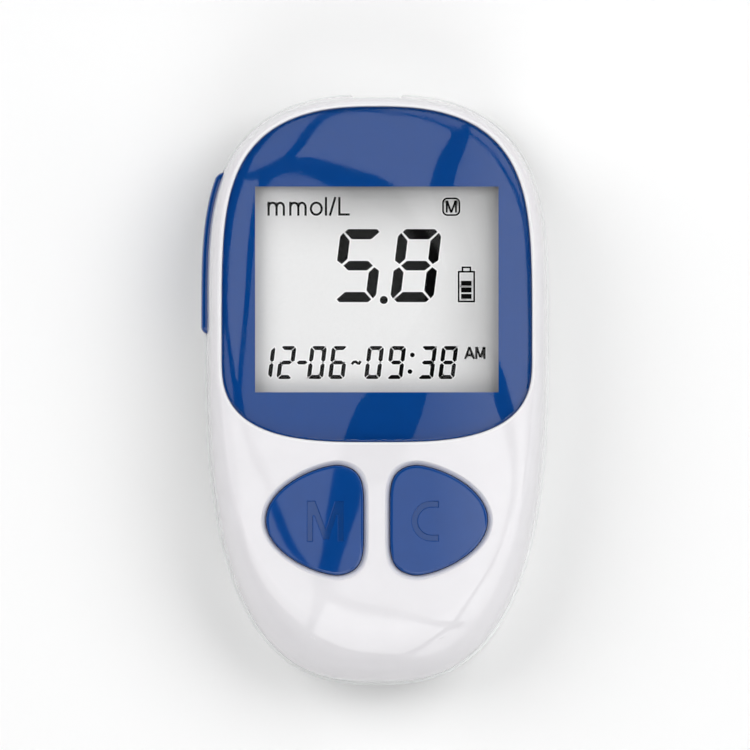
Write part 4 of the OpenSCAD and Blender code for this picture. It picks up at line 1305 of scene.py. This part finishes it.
def door_clip():
    """A sprung hoop across the door's foot, with a catch on its outer leg."""
    y_in = -34.1
    y_out = -37.6
    thick = 0.8
    top = 6.0
    middle = (y_in + thick + y_out) / 2
    outer_r = (y_in + thick - y_out) / 2
    line = [(y_in + thick, DOOR_LIP_TOP)] + arc(middle, top - outer_r, outer_r, outer_r, 0, 180, 20)
    line += [(y_out, 2.55), (y_out - 1.1, 2.35), (y_out - 1.1, 1.95), (y_out, 1.75), (y_out, 0.35),
             (y_out + thick, 0.35)]
    line += arc(middle, top - outer_r, outer_r - thick, outer_r - thick, 180, 0, 20)
    line += [(y_in, DOOR_LIP_TOP)]
    shell = Shell()
    ends = [shell.ring3([(x, y, z) for y, z in line]) for x in (-4, 4)]
    shell.bridge(ends)
    flat = Shell()
    loop = flat.ring(np.array(line), 0)
    flat.fill([loop], lambda a, b, margin: inside_line(np.array(line), a, b))
    for end in ends:
        shell.add([[end[i] for i in f] for f in flat.faces])
    return place(shell.mesh("clip"), "battery_door.clip", "door", [rear_plastic],
                 ["battery_door_clip"], 40)


def case_screws():
    """Screws with a cross in the head, each turned a little further than the one before."""
    profile = [(0, 0.5), (1.6, 0.5), (1.8, 0.56), (1.9, 0.72), (1.9, 1.9), (1.0, 1.9), (1.0, 14.4),
               (0, 14.6)]
    places = each_side(CASE_SCREWS)
    data = joined([turned(profile, (x, y, 0), sides=40) for x, y in places]).mesh("screws")
    for quarter in (0, math.pi / 2):
        slots = []
        for k, (x, y) in enumerate(places):
            turn = 0.35 + k * 0.9 + quarter
            c = math.cos(turn)
            s = math.sin(turn)
            corners = ((-1.1, -0.22), (1.1, -0.22), (1.1, 0.22), (-1.1, 0.22))
            line = np.array([(x + c * u - s * v, y + s * u + c * v) for u, v in corners])
            slots.append(prism(line, -1, 1.25))
        data = carved(data, slots)
    return place(data, "case_screws.set", "case", [screw_steel], ["case_screws"], 30)


def label():
    shell = solid([(-0.05, 0.03), (0, 0.05), (0, LABEL_TOP)], lambda grow: rounded_rectangle(*LABEL, grow))
    return place(shell.mesh("label"), "rear_label.film", "case", [label_film], ["rear_label"])


# Inside ---------------------------------------------------------------------------------------------------

def coil_path(at, axis_y, length, r0, r1, wire, turns, way=1):
    """A coil's centre line along X, or along Y when axis_y is set."""
    steps = 40
    line = []
    for i in range(turns * steps + 1):
        s = i / (turns * steps)
        a = 2 * math.pi * i / steps
        r = r0 + (r1 - r0) * s
        reach = way * (wire + (length - 2 * wire) * s)
        across = (r * math.cos(a), r * math.sin(a))
        offset = (across[0], reach, across[1]) if axis_y else (reach, across[0], across[1])
        line.append([at[k] + offset[k] for k in range(3)])
    return line


def cell(x, y_minus, way, name, node):
    """A cell lies along Y from its negative end at y_minus; way is 1 when its positive end is towards +Y."""
    profile = [(radius, way * height) for radius, height in NEGATIVE_END + SLEEVE + POSITIVE_END]
    sides = 64
    shell = turned(profile, (x, y_minus, CELL_Z), "y", sides)
    kinds = [2] * len(NEGATIVE_END) + [0, 1, 1] + [2] * len(POSITIVE_END)
    shell.kinds = [kind for kind in kinds for _ in range(sides)]
    return place(shell.mesh(name), name, "case", [cell_band, cell_wrap, steel], [node], 30)


def contact(name, node, plate, springs):
    """A battery contact: a plate from one X to another at Y, with cone springs on it."""
    x0, x1, y0 = plate
    half = PLATE_HALF
    shells = [solid([(-0.08, 0), (0, 0.05), (0, PLATE_T - 0.05), (-0.08, PLATE_T)],
                    lambda grow: rounded_rectangle(x0, CELL_Z - half, x1, CELL_Z + half, 0.5, grow))]
    shells[0].points = [(x, y0 + z, y) for x, y, z in shells[0].points]
    for x, y, way in springs:
        shells.append(swept(coil_path((x, y, CELL_Z), True, *CONE_SPRING, way), WIRE_R))
    return place(joined(shells).mesh(name), name, "case", [steel], [node], 40)


def squeeze(piece):
    """Gives a piece that a joint presses together its own copy of its mesh."""
    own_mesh(piece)


def inside():
    cell(-CELL_X, LEFT_CELL_Y, 1, "left_cell.body", "left_cell")
    cell(CELL_X, RIGHT_CELL_Y, -1, "right_cell.body", "right_cell")
    outer_x = CELL_X + PLATE_HALF
    inner_x = CELL_X - PLATE_HALF
    contact("cell_link.contact", "cell_link_contact", (-outer_x, outer_x, BAY_START),
            [(-CELL_X, BAY_START + 0.2, 1)])
    contact("cell_positive.contact", "cell_positive_contact", (-outer_x, -inner_x, BAY_END - PLATE_T), [])
    contact("cell_negative.contact", "cell_negative_contact", (inner_x, outer_x, BAY_END - PLATE_T),
            [(CELL_X, BAY_END - 0.2, -1)])
    low, high = span("ejector_spring")
    start = (low[0], SPRING_Y, KEY_Z)
    path = coil_path(start, False, high[0] - low[0], SPRING_R, SPRING_R, WIRE_R, SPRING_TURNS)
    spring = swept(path, WIRE_R)
    coil = place(spring.mesh("spring"), "ejector_spring.coil", "case", [steel],
                 ["ejector_spring"], 40)
    squeeze(coil)
    for joint, node in (("memory_button_press", "memory_dome"), ("confirm_button_press", "confirm_dome")):
        low, high = span(node)
        squeeze(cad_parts[node])
    looks = {"lens_adhesive": adhesive, "memory_dome": steel, "confirm_dome": steel,
             "lcd_panel": display_grey, "lcd_holder": inner_plastic, "zebra_connector": rubber,
             "main_board": green_board, "microcontroller": black_plastic, "amplifier_chip": black_plastic,
             "crystal": steel, "buzzer": black_plastic, "board_components": ceramic,
             "board_screws": screw_steel, "strip_connector": ivory_plastic, "strip_contacts": gold,
             "strip_pusher": inner_plastic, "ejector_crank": inner_plastic, "ejector_pivot_pin": steel}
    for node, material in looks.items():
        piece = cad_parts[node]
        piece.data.materials.clear()
        piece.data.materials.append(material)


# Studio ---------------------------------------------------------------------------------------------------

PHOTO_SIZE = 750
PHOTO_SCALE = 6.167         # photograph pixels to the millimetre at the parting line
PHOTO_ORIGIN = (376.8, 389.5)
CAMERA_HEIGHT = 5400.0
PANEL_HEIGHT = 1000.0
FLOOR_HALF = 6.0       # from here to the lamps, sizes are in metres
FLOOR_Z = -0.00005
DARK_R = 2.3
DARK_Z = 1.1
LAMP_SIZE = 1.3
# Name, place and power of each lamp
LAMPS = (("key", (0.9, 0.75, 1.3), 11.9), ("right_fill", (1.3, 0.1, 1.2), 5.4),
         ("left_fill", (-1.1, 0.6, 1.2), 13.3), ("front_fill", (0.2, -1.3, 1.2), 8.8))
LOW_END = 0.55         # the world's light from low down fades out at this rise of its direction
LOW_SPREAD = 0.3       # and is full this much below it
LOW_LIGHT = 0.82
HIGH_LIGHT = 0.075
RIGHT_FULL = 0.5       # the world that is mirrored is brighter to the right, up to this X of its direction
RIGHT_MIRRORED = 1.1
LEFT_MIRRORED = 0.3


def camera():
    data = bpy.data.cameras.new("camera")
    data.sensor_width = 36
    data.lens = data.sensor_width * (CAMERA_HEIGHT - SPLIT) / (PHOTO_SIZE / PHOTO_SCALE)
    data.clip_end = 100
    view = linked("camera", data)
    x = (PHOTO_SIZE / 2 - PHOTO_ORIGIN[0]) / PHOTO_SCALE
    y = (PHOTO_ORIGIN[1] - PHOTO_SIZE / 2) / PHOTO_SCALE
    view.location = (x * MM, y * MM, CAMERA_HEIGHT * MM)
    bpy.context.scene.camera = view
    return np.array([x, y, CAMERA_HEIGHT])


def mirrored_at(line, eye):
    """Where the camera's rays that meet the front face on a line go, at the height of the panels."""
    x, y = line.T
    # The upper pools go on past the window's edge, as if the face did
    normal = np.where((y > 0)[:, None], slopes(crown, x, y), slopes(skin, x, y))
    point = np.stack([x, y, crown(x, y)], 1)
    ray = unit(point - eye)
    ray -= 2 * (ray * normal).sum(1)[:, None] * normal
    return (point + ray * ((PANEL_HEIGHT - point[:, 2]) / np.maximum(ray[:, 2], 0.12))[:, None])[:, :2]


def made(name, shape, **sizes):
    """A floor or ceiling mesh from one of Blender's own flat shapes, with sizes in metres."""
    work = bmesh.new()
    shape(work, **sizes)
    data = bpy.data.meshes.new(name)
    work.to_mesh(data)
    work.free()
    return data


def smoothed(corners, step=0.7, passes=2):
    """A closed line whose corners are cut round."""
    line = densed(np.array(corners, float), step)
    for _ in range(passes):
        ahead = np.roll(line, -1, 0)
        line = np.stack([line * 0.75 + ahead * 0.25, line * 0.25 + ahead * 0.75], 1).reshape(-1, 2)
    return line


# The parts of the front face in which the studio's panels are mirrored
POOLS = {
    "right_edge": [
        (15.1, 42.7), (15, 41.6), (16, 41), (18, 39.3), (19.5, 37.6), (21, 35.4), (22.2, 33.2),
        (23.1, 31.2), (23.7, 29.2), (24.25, 26), (24.6, 22), (24.75, 17), (24.85, 10), (24.8, 4),
        (24.75, 0.5), (30, 0.5), (31, 20), (29, 32), (24, 41), (18, 47)],
    "top_edge": [
        (-6.5, 45.4), (-4, 45.45), (0, 45.3), (4.8, 44.75), (9.1, 43.75), (12, 42.65), (13.4, 42.2),
        (14.6, 43.2), (17, 50), (0, 55), (-6, 54)],
    "top": [
        (-13.2, 37.6), (-11.3, 40), (-10, 42), (-8.2, 43.8), (-6.5, 44.6), (-4, 44.95), (0, 44.85),
        (4.8, 44.35), (9.1, 43.3), (11.5, 42.2), (12.1, 41.5), (11.7, 40.4), (10.2, 38), (9.2, 35.6),
        (8.5, 33), (10, 28), (10.8, 22), (11.6, 18), (9, 24), (5, 30), (2.5, 33.3), (0, 34.6), (-4, 35.8),
        (-8, 37), (-10, 37.5)],
    "top_left": [
        (-20.9, 35.1), (-20, 37.4), (-18, 40.1), (-15.2, 42.9), (-15.5, 46), (-11, 48), (-7.5, 46.5),
        (-8.2, 45.2), (-9.75, 44.1), (-11.4, 42.5), (-12.5, 41.1), (-13.3, 39.8), (-15, 37.9), (-17, 36.7),
        (-19, 35.8)],
    "arch": [
        (-17.9, 33), (-16.5, 34.3), (-15, 34.9), (-13.5, 35), (-12, 34.8), (-10, 34.1), (-8.2, 33.2),
        (-3, 31), (2, 28.5), (6, 25), (8.4, 20), (7.6, 13.5), (5, 9), (2, 3.5), (-1.7, -0.5), (-3.2, -2.6),
        (-4.2, -4.8), (-5.2, -7.5), (-6.1, -11), (-7, -13), (-7.6, -16.5), (-8.2, -20), (-8.5, -23),
        (-8.9, -26.4), (-9.6, -29.2), (-10.2, -30.2), (-11, -28.3), (-12.8, -25.8), (-14.2, -23),
        (-15.2, -20.3), (-16.1, -18.2), (-17, -15), (-18.2, -12), (-19.6, -9), (-21.2, -5), (-21.9, 0),
        (-21.5, 5), (-20.9, 11), (-20.4, 17), (-19.8, 24), (-19.2, 30)],
    "left": [
        (-21.5, 33.9), (-19, 33.9), (-19.3, 32.5), (-19.9, 30.5), (-20.3, 28.6), (-20.7, 25), (-21, 22),
        (-21.3, 16), (-21.8, 10), (-22.3, 5), (-22.6, 1), (-23, 3.6), (-23.6, 7), (-24, 10), (-24.2, 14),
        (-24.1, 18), (-23.9, 22), (-23.5, 25), (-23.1, 28), (-22.5, 30.5)],
    "lower_left": [
        (-25.3, 12.5), (-24.4, 8.5), (-24.1, 6), (-23.6, 2), (-23.2, -1), (-22.8, -4), (-21.3, -9),
        (-20.2, -12), (-18.4, -15), (-17.4, -17.5), (-17, -20.3), (-16.3, -21.8), (-15.3, -24.4),
        (-14, -26.3), (-12, -28.4), (-10.5, -31.5), (-10.2, -32.5), (-10.6, -35), (-11.2, -37.5),
        (-11.7, -38.3), (-13, -37.5), (-16, -34.5), (-18, -32), (-20, -28.6), (-21, -25.5), (-21.8, -21),
        (-22.2, -16), (-22.9, -10), (-23.9, -3), (-24.7, 2), (-25.2, 8)],
    "right": [
        (14.9, 41), (14, 38), (13.1, 36), (12.4, 33.2), (14.5, 26), (16, 20), (15.9, 12), (12.8, 5),
        (8.2, -0.5), (7.3, -4), (6, -7.4), (5, -9), (4.3, -11), (3, -13), (1, -15), (-1, -15.9),
        (-2.7, -17.2), (-2.8, -19), (-3.9, -22), (-5.4, -26.4), (-6.4, -29.8), (-6.9, -32.4), (-5, -33.7),
        (-2, -34.6), (2, -35), (6, -36.2), (10, -37.4), (12.3, -37.5), (15, -33.5), (18, -29), (19.6, -25),
        (20.8, -21), (21.6, -17.5), (21.9, -14.5), (21.6, -11), (20.9, -8), (20.1, -5), (19.2, -2.5),
        (18.5, 1), (18.6, 7), (19.8, 4.6), (20.6, 2.4), (21.3, 0), (22.3, -3.6), (22.5, -8), (22.8, -12),
        (22.6, -17.5), (21.6, -21), (20.3, -25), (18.7, -29), (15.7, -33.5), (13.2, -37.5), (15, -37.6),
        (16.9, -36.7), (18.5, -34), (20, -31), (21.5, -28), (22.6, -24.7), (23.2, -21), (23.5, -17),
        (23.9, -12), (24.2, -6), (24.4, 0), (24.5, 6), (24.5, 12), (24.3, 18), (24, 24), (23.5, 28),
        (22.3, 31.8), (21.2, 34), (20, 36.1), (18.5, 38.2), (17, 39.6), (15.6, 40.9)],
    "bottom": [
        (-8, -34.2), (-10.4, -39.4), (-9, -40.2), (-6, -41.6), (-3, -42.4), (1, -42.75), (4.2, -42.8),
        (7, -41.5), (10, -39.3), (11.2, -38.6), (6, -37.6), (2, -36.9), (-2, -36.4), (-5, -35.6)],
    "bottom_right": [
        (5.6, -43.1), (8, -43.5), (10.8, -43.4), (13, -41.5), (16.2, -38), (14, -38.5), (12, -38.8),
        (10.5, -39.7), (8, -41.6)],
}


# Strength of each panel, and for one the strength that it goes over to on the right
POOL_STRENGTHS = {"top": (1.95,), "top_left": (1.7,), "arch": (1.4,), "left": (2.1,), "lower_left": (1.5,),
                  "right": (1.3, 2.4), "right_edge": (2.0,), "top_edge": (1.7,), "bottom": (2.2,),
                  "bottom_right": (2.2,)}


def studio(eye):
    floor_mesh = made("floor", bmesh.ops.create_grid, x_segments=8, y_segments=8, size=FLOOR_HALF)
    floor = linked("floor", floor_mesh)
    floor.location = (0, 0, FLOOR_Z)
    paper = finish_material("floor_paper", (0.985, 0.985, 0.985), 0.8, vary=0.0, grain=2.0,
                            grain_depth=0.001, specular=0.0, shade=less_bounce)
    floor_mesh.materials.append(paper)

    # Panels that only the gloss shows, under a dark ceiling
    for name, corners in POOLS.items():
        line = mirrored_at(smoothed(corners), eye)
        mesh = bpy.data.meshes.new("panel_" + name)
        points = [(x * MM, y * MM, PANEL_HEIGHT * MM) for x, y in line]
        mesh.from_pydata(points, [], [range(len(line))])
        mesh.materials.append(glow_material("glow_" + name, *POOL_STRENGTHS[name]))
        gloss_only(linked("panel_" + name, mesh))
    ceiling_mesh = made("ceiling", bmesh.ops.create_circle, cap_ends=True, segments=96, radius=DARK_R)
    ceiling_mesh.materials.append(glow_material("ceiling_dark", 0.0))
    ceiling = linked("ceiling", ceiling_mesh)
    ceiling.location = (0, 0, DARK_Z)
    gloss_only(ceiling)
    for name, at, power in LAMPS:
        lamp(name, at, power)

    # The world is white to the camera, and lights and mirrors as set here
    world = bpy.data.worlds.new("world")
    bpy.context.scene.world = world
    world.use_nodes = True
    tree = world.node_tree
    tree.nodes.clear()
    path = node_of(tree, "LightPath").outputs
    way = place_of(tree, "Generated")
    # Soft light from low down all round, and little from above, where the lamps are
    low = calc(tree, "MULTIPLY_ADD", way[2], -1 / LOW_SPREAD, LOW_END / LOW_SPREAD, True)
    level = calc(tree, "MULTIPLY_ADD", low, LOW_LIGHT, HIGH_LIGHT)
    right = calc(tree, "MULTIPLY", way[0], 1 / RIGHT_FULL, 0.0, True)
    mirrored = calc(tree, "MULTIPLY_ADD", right, RIGHT_MIRRORED, LEFT_MIRRORED)
    mirrored = calc(tree, "MULTIPLY", path["Is Glossy Ray"], mirrored)
    other = calc(tree, "SUBTRACT", 1.0, path["Is Glossy Ray"])
    level = calc(tree, "MULTIPLY_ADD", level, other, mirrored)
    white = (1, 1, 1, 1)
    soft = node_of(tree, "Background", {"Color": white, "Strength": level})
    seen = node_of(tree, "Background", {"Color": white, "Strength": 1.0})
    shown = calc(tree, "MAXIMUM", path["Is Camera Ray"], path["Is Transmission Ray"])
    mix = node_of(tree, "MixShader", {"Fac": shown, 1: soft.outputs["Background"],
                                      2: seen.outputs["Background"]})
    node_of(tree, "OutputWorld", {"Surface": mix.outputs["Shader"]})


def gloss_only(thing):
    """A stage piece that only reflections show."""
    for ray in ("camera", "diffuse", "transmission", "volume_scatter", "shadow"):
        setattr(thing, "visible_" + ray, False)


def lamp(name, at, power):
    """A round lamp at a place in metres, which shines at the middle and isn't mirrored."""
    data = bpy.data.lights.new(name, "AREA")
    data.shape = "DISK"
    data.size = LAMP_SIZE
    data.energy = power
    light = linked(name, data)
    light.location = at
    light.rotation_euler = (Vector((0, 0, 0)) - Vector(at)).to_track_quat("-Z", "Y").to_euler()
    light.visible_glossy = False
    light.visible_camera = False


bpy.context.scene.view_settings.view_transform = "Standard"
eye = camera()
studio(eye)
front_case()
rear_case()
window_panel()
window_print()
display()
button(-1, "memory_button.cap", "memory_key", "memory_button", M_LINE)
button(1, "confirm_button.cap", "confirm_key", "confirm_button", C_LINE)
side_key()
battery_door()
door_clip()
case_screws()
label()
inside()
